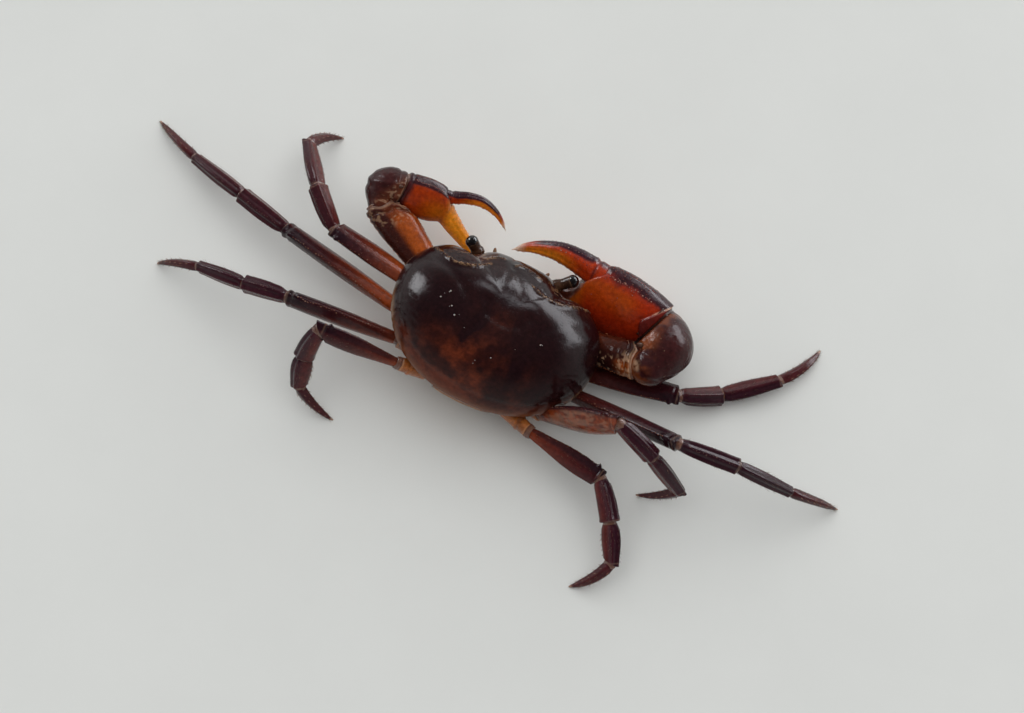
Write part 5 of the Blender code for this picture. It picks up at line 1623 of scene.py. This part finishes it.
def build_elbow(name):
    wrist, along, up, out, c = claw_frame(name)
    root, elbow = body(side(c["root"], name)), np.array(c["elbow"])
    arm = unit(elbow - root)
    face = unit(vec(*c["face"]))
    q, g, mid = elbow_shape(name)
    pole = unit(np.cross(arm, along))
    first = wrist - elbow
    first = unit(first - pole * (first @ pole))
    second = np.cross(pole, first)
    rows, cols = 130, 170
    lat = math.pi * ((np.arange(rows) + 1) / (rows + 1) - 0.5)
    ang = TAU * np.arange(cols) / cols
    D = ((first * np.cos(ang)[:, None] + second * np.sin(ang)[:, None])[None] * np.cos(lat)[:, None, None]
         + pole * np.sin(lat)[:, None, None])
    far = np.zeros((rows, cols))
    for qi, gi in zip(q, g):
        along_d = D @ (qi - mid)
        off = ((qi - mid) ** 2).sum() - along_d * along_d
        far = np.maximum(far, np.where(off < gi * gi, along_d + np.sqrt(np.clip(gi * gi - off, 0, None)), 0))
    # flat joint face towards the palm, with a rounded edge
    dm = D @ face
    limit = np.where(dm > 1e-3, ((wrist - mid) @ face - GAP) / np.maximum(dm, 1e-3), 1e3)
    far = soft_min(far, limit, 0.22)
    P = mid + D * far[..., None]
    dw = -((P - wrist) @ face) - GAP
    h = -0.10 * hump(dw, 0.66, 0.17) + 0.05 * hump(dw, 0.28, 0.16)
    if name == "right":
        h = h * 0.15
    inner = smooth(dw / 0.12)
    # a blunt ridge over the back and slanting furrows beside it
    ridge = (P - mid) @ unit(face * 0.35 + arm * 0.5 + vec(0, 0, 0.2))
    h = h + 0.10 * hump(ridge, 1.3, 0.30) - 0.08 * hump(ridge, 0.65, 0.30)
    h = h * inner + (0.12 * (fractal(P * 0.8, 3, 6) - 0.5) + 0.05 * (fractal(P * 2.6, 2, 9) - 0.5)) * inner
    P = P + D * h[..., None]
    blot = fractal(P * 0.6, 3, 12)
    toward = (P - elbow) @ arm
    near = smooth((1.6 - toward) / 2.2)
    warm = (0.65 if name == "right" else 0.30) * near * smooth((blot - 0.32) / 0.25)
    pale = 0.22 * hump(dw, 0.06, 0.08) * (name == "left")
    if name == "right":
        spot = np.linalg.norm(P - vec(-15.6, -1.6, 5.4), axis=-1)
        warm = np.maximum(warm, smooth((1.9 - spot) / 0.8))
        spot = np.linalg.norm(P - vec(-14.9, -2.4, 7.6), axis=-1)
        pale = np.maximum(pale, 0.75 * smooth((1.25 - spot) / 0.5) * smooth((fractal(P * 2.2, 2, 18) - 0.38) / 0.2))
        dark = 0.25 * blot + 0.35 * smooth((0.5 - dw) / 0.5)
    else:
        streak = smooth((fractal(P * np.array((2.0, 4.8, 2.6)), 2, 18) - 0.57) / 0.07)
        pale = np.maximum(pale, 0.34 * streak * smooth((0.8 - toward) / 0.9))
        dark = 0.30 * blot
    bag = Bag()
    skin = bag.tube(P, cap0=mid - pole * (far[0].mean()), cap1=mid + pole * (far[-1].mean()), warm=np.clip(warm, 0, 1), dark=dark, pale=np.clip(pale, 0, 1))
    # the spine on the inner angle
    rng = np.random.default_rng(5)
    n_g = 130
    p_, n_, uv = skin.at(rng.uniform(15, rows - 15, n_g), rng.uniform(0, cols, n_g))
    ok = (((p_ - wrist) @ face) < -0.7) & (((p_ - elbow) @ arm) > 0.2)
    bag.beads(p_[ok], n_[ok], 0.016 * g.max() * rng.uniform(0.6, 1.3, ok.sum()), uv[ok], 0.5, dark=0.2, pale=rng.uniform(0, 0.3, ok.sum()))
    inside = unit(mid - (elbow + wrist) / 2)
    tooth = int(np.argmax((((P - mid) @ unit(face * 0.55 - inside * 0.5 + vec(0, 0, 0.75) - arm * 0.35)) - 3 * (dw < 0.5)).ravel()))
    p_, n_ = P.reshape(-1, 3)[tooth][None], unit(D.reshape(-1, 3)[tooth] + face * 0.6)[None]
    r_, c_ = divmod(tooth, cols)
    uv = np.array([[skin.u0 + c_ * skin.du, skin.v[r_]]])
    bag.spikes(p_, n_, 0.22 * g.max(), 0.11 * g.max(), uv, sides=14, dark=0.2, pale=0.1)
    bag.piece("claw_elbow_" + name, LOOK["elbow"], ("claw_%s_carpus" % name,))
    # arm
    thin = vec(0, 0, 1)
    thin = unit(thin - arm * (thin @ arm))
    broad = np.cross(arm, thin)
    length = np.linalg.norm(elbow - root)
    k = c["upper"]
    rows, cols = 120, 84
    A = TAU * np.arange(cols) / cols
    cs, sn = power(np.cos(A), 2 / 2.5), power(np.sin(A), 2 / 2.5)

    def arm_place(W):
        hb = spline(((0.0, 1.35), (0.2, 1.6), (0.45, 1.9), (0.7, 2.15), (0.92, 2.2), (1.0, 2.1)), W) * k
        ht = spline(((0.0, 1.15), (0.2, 1.3), (0.45, 1.5), (0.7, 1.65), (0.92, 1.7), (1.0, 1.62)), W) * k
        return (root + arm * (length * W)[..., None] + thin * (0.25 * np.sin(math.pi * W))[..., None]
                + broad * (hb * cs)[..., None] + thin * (ht * sn)[..., None])

    # each line along the arm ends where the swollen elbow begins
    scan = np.linspace(0.3, 1.0, 240)
    deep = np.stack([ball_depth(arm_place(np.full(cols, v)), q, g, 2 * GAP + 0.03) for v in scan])
    last = np.array([scan[np.argmax(deep[:, i] > 0)] if (deep[:, i] > 0).any() else 1.0 for i in range(cols)])
    for _ in range(3):
        last = (np.roll(last, 1) + 2 * last + np.roll(last, -1)) / 4
    W = last * np.linspace(0, 1, rows)[:, None]
    P = arm_place(W)
    way = unit(broad * np.cos(A)[:, None] + thin * (1.2 * np.sin(A))[:, None])
    TT = np.broadcast_to(A, (rows, cols))
    back = (last - W) * length
    h = 0.08 * (turn(TT, 0.0, 0.2) + turn(TT, math.pi, 0.2) + turn(TT, math.pi / 2, 0.2))
    h = h + 0.08 * (fractal(P * np.array((2.6, 1.2, 2.0)), 3, 10) - 0.5) * smooth(W / 0.2)
    h = h - 0.13 * hump(back, 0.75, 0.18) + 0.06 * hump(back, 0.30, 0.2)
    P = P + way * h[..., None]
    if c["tuck"]:
        P = P - grid_normals(P) * np.clip(0.30 - palm_distance(P, name), 0, 1.6)[..., None]
    # rings that close the end along the elbow's hollow
    edge = P[-1]
    centre = edge.mean(0)
    rings = []
    for inset in (0.05, 0.14, 0.30, 0.55, 0.85):
        Q = centre + (edge - centre) * (1 - inset)
        run = np.zeros(cols)
        for _ in range(40):
            run = run - 0.7 * ball_depth(Q + arm * run[:, None], q, g, 2 * GAP)
            run = np.clip(run, -2.5, 0.05)
        rings.append(Q + arm * run[:, None])
    P = np.concatenate([P, np.array(rings)])
    extra = len(rings)
    W = np.concatenate([W / last, np.ones((extra, cols))])
    TT = np.concatenate([TT, np.repeat(TT[-1:], extra, 0)])
    blot = fractal(P * 0.5, 3, 14)
    if name == "right":
        warm = np.clip(0.10 + 0.45 * blot * smooth((0.5 - W) / 0.4), 0, 1)
        dark = np.clip(0.45 + 0.5 * smooth((W - 0.35 + 0.3 * (blot - 0.5)) / 0.3), 0, 1)
        tail = np.cos(TT) * np.sign(broad[1])
        dark = dark * (1 - 0.36 * smooth((0.35 - tail) / 0.7) * smooth((1.02 - W) / 0.3))
        pale = 0.6 * smooth((W - 0.82) / 0.08) * smooth((fractal(P * 2.4, 2, 24) - 0.42) / 0.12) * smooth((tail + 0.2) / 0.5)
        # painted highlight: sharp pale specks on the side towards the tail stand in for glints
        pale = np.maximum(pale, 0.6 * smooth((fractal(P * 3.6, 2, 27) - 0.64) / 0.05) * smooth((tail - 0.1) / 0.5))
        warm = np.maximum(warm, 0.75 * smooth((W - 0.72) / 0.2) * smooth((tail - 0.1) / 0.5) * (0.5 + blot))
        dark = dark * (1 - 0.55 * smooth((W - 0.72) / 0.2) * smooth((tail - 0.1) / 0.5))
    else:
        warm = np.clip(0.10 + 0.8 * blot + 0.30 * smooth((0.7 - W) / 0.5), 0, 1)
        outer = np.cos(TT) * np.sign(broad[0])
        dark = 0.94 * smooth((outer + 0.02 + 0.12 * (W - 0.5) + 0.30 * (blot - 0.5)) / 0.40)
        dark = np.clip(np.maximum(dark, 0.75 * smooth((W - 0.80 + 0.2 * (blot - 0.5)) / 0.14)), 0, 1)
        streak = smooth((fractal(P * np.array((2.2, 4.6, 3.0)), 2, 24) - 0.58) / 0.07)
        pale = 0.34 * streak * smooth((W - 0.70) / 0.12)
    bag = Bag()
    skin = bag.tube(P, warm=warm, dark=dark, pale=np.clip(pale + 0.25 * smooth((W - 0.975) / 0.02), 0, 1))
    n_g = 46
    for shift in (0.0, math.pi):
        place = np.linspace(0.2, 0.94, n_g) * rows
        p_, n_, uv = skin.at(place, ((shift + rng.normal(0, 0.05, n_g)) / TAU * cols) % cols)
        bag.beads(p_, n_, 0.085 * rng.uniform(0.6, 1.3, n_g) * k, uv, 0.7, warm=0.4, pale=rng.uniform(0, 0.35, n_g))
    bag.piece("claw_arm_" + name, LOOK["arm_right" if name == "right" else "arm"], ("claw_%s_merus" % name,))
    # joint skin at both ends of the elbow
    bag = Bag()
    sleeve(bag, edge, arm, -0.75, 0.55, 0.93, 0.84, dark=0.10 if name == "right" else 0.60, pale=0.3 if name == "right" else 0.1)
    sleeve(bag, PALM_RING[name], face, 0.55, -0.50, 0.94, 0.86, dark=0.92 if name == "right" else 0.75)
    bag.piece("claw_joint_skin_" + name, LOOK["membrane"], ())


# ------------------------------------------------------------------ walking legs
# how far the orange of the leg bases reaches, per leg: merus, outer segments
WARMTH = {
    (1, "left"): (0.80, 0.10), (2, "left"): (0.70, 0.05), (3, "left"): (0.30, 0.0), (4, "left"): (0.25, 0.0),
    (1, "right"): (0.30, 0.05), (2, "right"): (0.30, 0.0), (3, "right"): (0.62, 0.0), (4, "right"): (0.20, 0.0),
}


def build_leg(leg, name, hairs, cell):
    pts, dirs, normal = leg_frame(leg, name)
    girth = LEG_GIRTH[leg]
    root = body(side(COXA_ROOTS[leg], name))
    d_coxa = unit(pts[0] - root)
    ways = [d_coxa] + dirs
    kinds = ("merus", "carpus", "propodus", "dactylus")
    rng = np.random.default_rng(100 + leg * 10 + (name == "left"))
    label = "leg%d_%s_" % (leg, name)
    shape = {"merus": (120, 64), "carpus": (70, 64), "propodus": (80, 56), "dactylus": (110, 48)}
    joint = Bag()
    wm, wo = WARMTH[(leg, name)]
    for k, kind in enumerate(kinds):
        a, b = pts[k], pts[k + 1]
        n0 = unit(ways[k] + ways[k + 1])
        end0 = (a + n0 * GAP, -n0)
        end1 = None
        if kind != "dactylus":
            n1 = unit(ways[k + 1] + ways[k + 2])
            end1 = (b - n1 * GAP, n1)
        rows, cols = shape[kind]
        P, U, A, (t, up, n, length) = limb_skin(kind, a, b, normal, girth * (0.88 if kind == "merus" and leg == 4 else 1.0), end0, end1, rows, cols, kind == "dactylus",
                                             MERUS_BULK.get((leg, name), 0.0) if kind == "merus" else 0.0,
                                             {3: 0.12, 4: 0.38}.get(leg, 0.0) if kind == "merus" else 0.0)
        TT = np.broadcast_to(A, U.shape)
        top = np.cos(TT)
        blot = fractal(P * 0.55, 3, leg * 3 + k)
        lower = smooth((0.35 - top) / 0.6)
        # sideways: +1 on the flank that faces the animal's front
        sideways = np.sin(TT) * (-np.sign(n[1]) if abs(n[1]) > 1e-6 else 1.0)
        if kind == "merus":
            toward_base = smooth((0.80 - U) / 0.75)
            if leg == 3 and name == "right":
                # light below a dark upper face
                band = smooth((-0.05 - sideways) / 0.25)
                warm = 0.44 * band * (0.4 + 1.1 * blot) + 0.3 * smooth((0.15 - U) / 0.15)
                dark = 0.55 * (1 - band) + 0.45 * smooth((fractal(P * 1.7, 3, 91) - 0.47) / 0.12) * band
            else:
                warm = wm * (0.12 + 1.05 * toward_base) * (0.72 + 0.28 * lower) + 0.30 * smooth((0.18 - U) / 0.18)
                warm = warm * (0.6 + 0.8 * blot)
                dark = (0.75 * smooth((top - 0.38) / 0.4) + 0.35 * smooth((U - 0.75) / 0.2)) * (1 - 0.75 * np.clip(wm * toward_base, 0, 1))
                if name == "right" and leg < 3:
                    dark = np.maximum(dark, 0.50 + 0.35 * blot)
        elif kind == "dactylus":
            warm = wo + 0.15 * blot
            dark = 0.2 + 0 * U
        else:
            warm = wo + 0.30 * blot * lower
            dark = 0.60 * smooth((top - 0.45) / 0.4) + (0.20 if name == "right" and leg < 3 else 0.0)
        pale = np.zeros(U.shape)
        if kind == "merus" and leg == 3 and name == "right":
            streak = fractal(P @ np.stack([t, up, n], 1) * np.array((0.7, 2.6, 2.6)), 3, 88)
            pale = 0.23 * band * smooth((streak - 0.42) / 0.16) * smooth((0.97 - U) / 0.05) * (0.35 + 0.65 * smooth((top + 0.75) / 0.6))
        if kind != "dactylus":
            pale = pale + 0.16 * smooth((U * length - length + 0.25) / 0.12) * smooth((length - 0.02 - U * length) / 0.02)
        pale = pale + 0.10 * smooth((0.18 - U * length) / 0.12) * (U > -1)
        if kind == "dactylus":
            pale = pale + 0.75 * smooth((U - 0.90) / 0.07)
        bag = Bag()
        tip = "flat"
        if kind == "dactylus":
            tip = P[-1].mean(0) + t * 0.05
            tip[2] = max(tip[2], -SHIFT[2])
        skin = bag.tube(P, cap1=tip, warm=np.clip(warm, 0, 1), dark=np.clip(dark, 0, 1), pale=np.clip(pale, 0, 1))
        lead = 7
        span = rows - 1

        def on(u, ang):
            return skin.at(lead + np.asarray(u) * span, (np.asarray(ang) / TAU * cols) % cols)

        if kind == "merus":
            m = 34
            p, nn, uv = on(np.linspace(0.12, 0.9, m), rng.normal(0, 0.06, m))
            bag.beads(p, nn, 0.075 * girth * rng.uniform(0.6, 1.25, m), uv, 0.7, dark=0.3, warm=0.3, pale=rng.uniform(0, 0.4, m))
            for centre in (2.45, -2.45):
                p, nn, uv = on(np.linspace(0.15, 0.9, 22), centre + rng.normal(0, 0.05, 22))
                bag.beads(p, nn, 0.055 * girth * rng.uniform(0.6, 1.25, 22), uv, 0.7, warm=0.4, pale=0.1)
        if kind == "carpus":
            for centre in (0.95, -0.95, 0.0):
                p, nn, uv = on(np.linspace(0.15, 0.88, 14), centre + rng.normal(0, 0.03, 14))
                bag.beads(p, nn, 0.055 * girth * rng.uniform(0.6, 1.25, 14), uv, 0.6, dark=0.3, pale=rng.uniform(0, 0.35, 14))
        if kind == "propodus":
            u = np.concatenate([np.linspace(0.2, 0.93, 5), np.linspace(0.3, 0.95, 5)])
            ang = np.concatenate([np.full(5, math.pi - 0.22), np.full(5, math.pi + 0.22)])
            p, nn, uv = on(u, ang)
            bag.spikes(p, nn + t * 0.9, 0.24 * girth, 0.055 * girth, uv, pale=0.45, warm=0.4)
        if kind == "dactylus":
            u, ang = [], []
            for centre, m in ((0.35, 6), (-0.35, 6), (math.pi / 2 + 0.35, 5), (-math.pi / 2 - 0.35, 5), (math.pi, 5)):
                places = 1 - (1 - np.linspace(0.14, 0.80, m)) ** (1 / 1.0)
                w = 1 - (1 - places) ** (1 / 1.25)
                u.append(w)
                ang.append(np.full(m, centre) + rng.normal(0, 0.04, m))
            p, nn, uv = on(np.concatenate(u), np.concatenate(ang))
            scale = np.interp(np.concatenate(u), (0, 1), (0.34, 0.22))
            bag.spikes(p, nn * 0.8 + t * 0.9, scale * girth, 0.048 * girth, uv, pale=0.4, warm=0.4)
        node = "leg%d_%s_%s" % (leg, name, kind)
        bag.piece(label + kind + "_shell", LOOK["upper" if kind == "merus" else "outer"], (node,))
        # bristles
        count = {"merus": 46, "carpus": 34, "propodus": 74, "dactylus": 90}[kind]
        u = rng.uniform(0.06, 0.95, count)
        pick = rng.integers(0, 4, count)
        ang = np.choose(pick, (0.0, math.pi, 1.3, -1.3)) + rng.normal(0, 0.22, count)
        p, nn, uv = on(u, ang)
        size = {"merus": 0.30, "carpus": 0.34, "propodus": 0.42, "dactylus": 0.36}[kind] * girth
        way = unit(nn * 0.75 + t * 0.9 + rng.normal(0, 0.12, (count, 3)))
        uv = (uv * 0.24 + np.array((k % 4, cell)) * 0.25) * np.array((1.0, 1.0))
        uv = np.clip(np.stack([(uv[:, 0]), (uv[:, 1] % 1.0)], -1), 0.001, 0.999)
        hairs.spikes(p, way, size * rng.uniform(0.6, 1.25, count), 0.011, uv, bend=np.tile(t, (count, 1)), curl=0.3, sides=4)
        # joint skin towards the body
        bend = math.acos(max(-1.0, min(1.0, float(ways[k] @ ways[k + 1])))) / 2
        hb = float(spline(LIMB[kind][0], 0.0)) * girth * 0.86
        ht = float(spline(LIMB[kind][1], 0.0)) * girth * 0.86
        grow = 1 / max(0.55, math.cos(bend))
        fold(joint, a, ways[k], ways[k + 1], n0, hb * min(grow, 1.25), ht, normal, 0.42 + 0.25 * math.tan(bend), 3, dark=0.68)
    joint.piece(label + "joint_skin", LOOK["membrane"], ())
    # coxa
    flat = unit(vec(d_coxa[0], d_coxa[1], 0))
    normal_c = np.cross(flat, vec(0, 0, -1))
    n1 = unit(d_coxa + dirs[0])
    P, U, A, (t, up, n, length) = limb_skin("coxa", root, pts[0], normal_c, girth * COXA_GIRTH[leg], None, (pts[0] - n1 * GAP, n1), 60, 60)
    TT = np.broadcast_to(A, U.shape)
    blot = fractal(P * 0.7, 3, leg)
    bag = Bag()
    bag.tube(P, warm=np.clip(0.5 * blot + 0.25, 0, 1), dark=np.clip(0.5 * smooth((blot - 0.5) / 0.2) * (np.cos(TT) > 0), 0, 1),
             pale=0.3 * smooth((U * length - length + 0.3) / 0.15))
    bag.piece(label + "coxa_shell", LOOK["root"], ("leg%d_%s_coxa" % (leg, name),))


# ------------------------------------------------------------------ the animal
build_shell()
build_sternum()
_, tail_skin = build_abdomen()
build_front()
mouth_skins = {}
for NAME in ("left", "right"):
    _, mouth_skins[NAME] = build_mouth(NAME)
    build_antenna(NAME)
    build_eye(NAME)
    build_palm(NAME)
    build_finger(NAME)
    build_elbow(NAME)
    HAIRS = Bag()
    for LEG in (1, 2, 3, 4):
        build_leg(LEG, NAME, HAIRS, LEG - 1)
    # fringe of the mouth plates and the tail plate
    RNG = np.random.default_rng(55)
    COUNT = 120
    P_, N_, UV_ = mouth_skins[NAME].at(RNG.uniform(4, 86, COUNT), np.where(RNG.uniform(size=COUNT) < 0.5, 0, 32) + RNG.normal(0, 2.5, COUNT))
    HAIRS.spikes(P_, N_ + RNG.normal(0, 0.2, (COUNT, 3)), 0.32 * RNG.uniform(0.6, 1.3, COUNT), 0.010, UV_ * 0.2 + 0.4, sides=4)
    P_, N_, UV_ = tail_skin.at(RNG.uniform(10, 146, COUNT), (0 if NAME == "left" else 28) + RNG.normal(0, 1.2, COUNT))
    HAIRS.spikes(P_, N_ + RNG.normal(0, 0.2, (COUNT, 3)), 0.25 * RNG.uniform(0.6, 1.3, COUNT), 0.010, UV_ * 0.2 + 0.6, sides=4)
    HAIRS.piece("bristles_" + NAME, LOOK["bristle"], ())


# ------------------------------------------------------------------ floor, light, camera
def floor_look():
    m = Nodes("floor_look")
    color = m.mix(m.remap(m.noise(0.05, 4.0, 0.6), 0.2, 0.8), (0.758, 0.766, 0.752), (0.782, 0.790, 0.776))
    m.link(color, m.bsdf.inputs["Base Color"])
    m.link(m.remap(m.noise(0.3), 0.3, 0.7, 0.5, 0.62), m.bsdf.inputs["Roughness"])
    m.bsdf.inputs["Specular IOR Level"].default_value = 0.3
    return m.mat


def build_floor():
    mesh = bpy.data.meshes.new("floor")
    s = 1.5
    n = 12
    verts = [((i / n - 0.5) * 2 * s, (j / n - 0.5) * 2 * s, 0.0) for j in range(n + 1) for i in range(n + 1)]
    faces = [(j * (n + 1) + i, j * (n + 1) + i + 1, (j + 1) * (n + 1) + i + 1, (j + 1) * (n + 1) + i) for j in range(n) for i in range(n)]
    mesh.from_pydata(verts, [], faces)
    mesh.materials.append(floor_look())
    obj = bpy.data.objects.new("floor", mesh)
    bpy.context.scene.collection.objects.link(obj)


def panel(name, az, el, distance, width, height, radiance, color=(1, 1, 1), diffuse=False, glossy=True):
    """A soft box facing the animal. az: degrees from the front (-Y) towards +X."""
    a, e = math.radians(az), math.radians(el)
    way = Vector((math.cos(e) * math.sin(a), -math.cos(e) * math.cos(a), math.sin(e)))
    data = bpy.data.lights.new(name, "AREA")
    data.shape = "RECTANGLE"
    data.size, data.size_y = width, height
    data.energy = radiance * math.pi * width * height
    data.color = color
    obj = bpy.data.objects.new(name, data)
    obj.location = way * distance
    obj.rotation_mode = "QUATERNION"
    obj.rotation_quaternion = way.to_track_quat("Z", "Y")
    obj.visible_diffuse = diffuse
    obj.visible_glossy = glossy
    bpy.context.scene.collection.objects.link(obj)


def build_world():
    """A dim room overhead that brightens towards the horizon, most in front of the animal."""
    world = bpy.data.worlds.new("studio")
    bpy.context.scene.world = world
    world.use_nodes = True
    tree = world.node_tree
    back = tree.nodes["Background"]
    parts = tree.nodes.new("ShaderNodeSeparateXYZ")
    tree.links.new(tree.nodes.new("ShaderNodeTexCoord").outputs["Generated"], parts.inputs[0])

    def ease(value, a, b, c, d):
        n = tree.nodes.new("ShaderNodeMapRange")
        n.interpolation_type = "SMOOTHSTEP"
        tree.links.new(value, n.inputs["Value"])
        for key, x in (("From Min", a), ("From Max", b), ("To Min", c), ("To Max", d)):
            n.inputs[key].default_value = x
        return n.outputs["Result"]

    up = ease(parts.outputs["Z"], 0.10, 0.75, 0.95, 0.15)
    lean = tree.nodes.new("ShaderNodeVectorMath")
    lean.operation = "DOT_PRODUCT"
    tree.links.new(parts.inputs[0].links[0].from_socket, lean.inputs[0])
    lean.inputs[1].default_value = (0.35, -0.93, 0.0)
    front = ease(lean.outputs["Value"], -0.7, 0.8, 0.55, 1.45)
    n = tree.nodes.new("ShaderNodeMath")
    n.operation = "MULTIPLY"
    tree.links.new(up, n.inputs[0])
    tree.links.new(front, n.inputs[1])
    tree.links.new(n.outputs[0], back.inputs["Strength"])
    back.inputs["Color"].default_value = (0.985, 1.0, 0.99, 1.0)


def build_camera():
    e, psi = math.radians(74.0), math.radians(21.5)
    F = Vector((math.sin(psi) * math.cos(e), -math.cos(psi) * math.cos(e), -math.sin(e)))
    R = Vector((-math.cos(psi), -math.sin(psi), 0.0))
    U = R.cross(F)
    target = Vector(SHIFT) * MM
    C = target - F * 0.300
    cam = bpy.data.cameras.new("camera")
    cam.sensor_fit = "HORIZONTAL"
    cam.sensor_width = 36.0
    cam.lens = 36.0 * 2566.5 / 1024
    cam.clip_start, cam.clip_end = 0.01, 20.0
    obj = bpy.data.objects.new("camera", cam)
    B = -F
    obj.matrix_world = Matrix(((R.x, U.x, B.x, C.x), (R.y, U.y, B.y, C.y), (R.z, U.z, B.z, C.z), (0, 0, 0, 1)))
    bpy.context.scene.collection.objects.link(obj)
    bpy.context.scene.camera = obj


build_floor()
build_world()
panel("window_right", -33.0, 18.0, 1.3, 1.25, 0.50, 9.0, (0.93, 0.95, 1.0))
panel("window_front", -12.0, 44.0, 1.3, 0.34, 0.26, 6.5, (0.93, 0.95, 1.0))
panel("window_left", 69.0, 27.0, 1.3, 0.36, 0.46, 15.0, (0.95, 0.97, 1.0))
panel("sky", 5.0, 74.0, 1.6, 2.4, 2.4, 1.36, (0.995, 1.0, 0.985), True, False)
build_camera()
bpy.context.scene.view_settings.view_transform = "Standard"

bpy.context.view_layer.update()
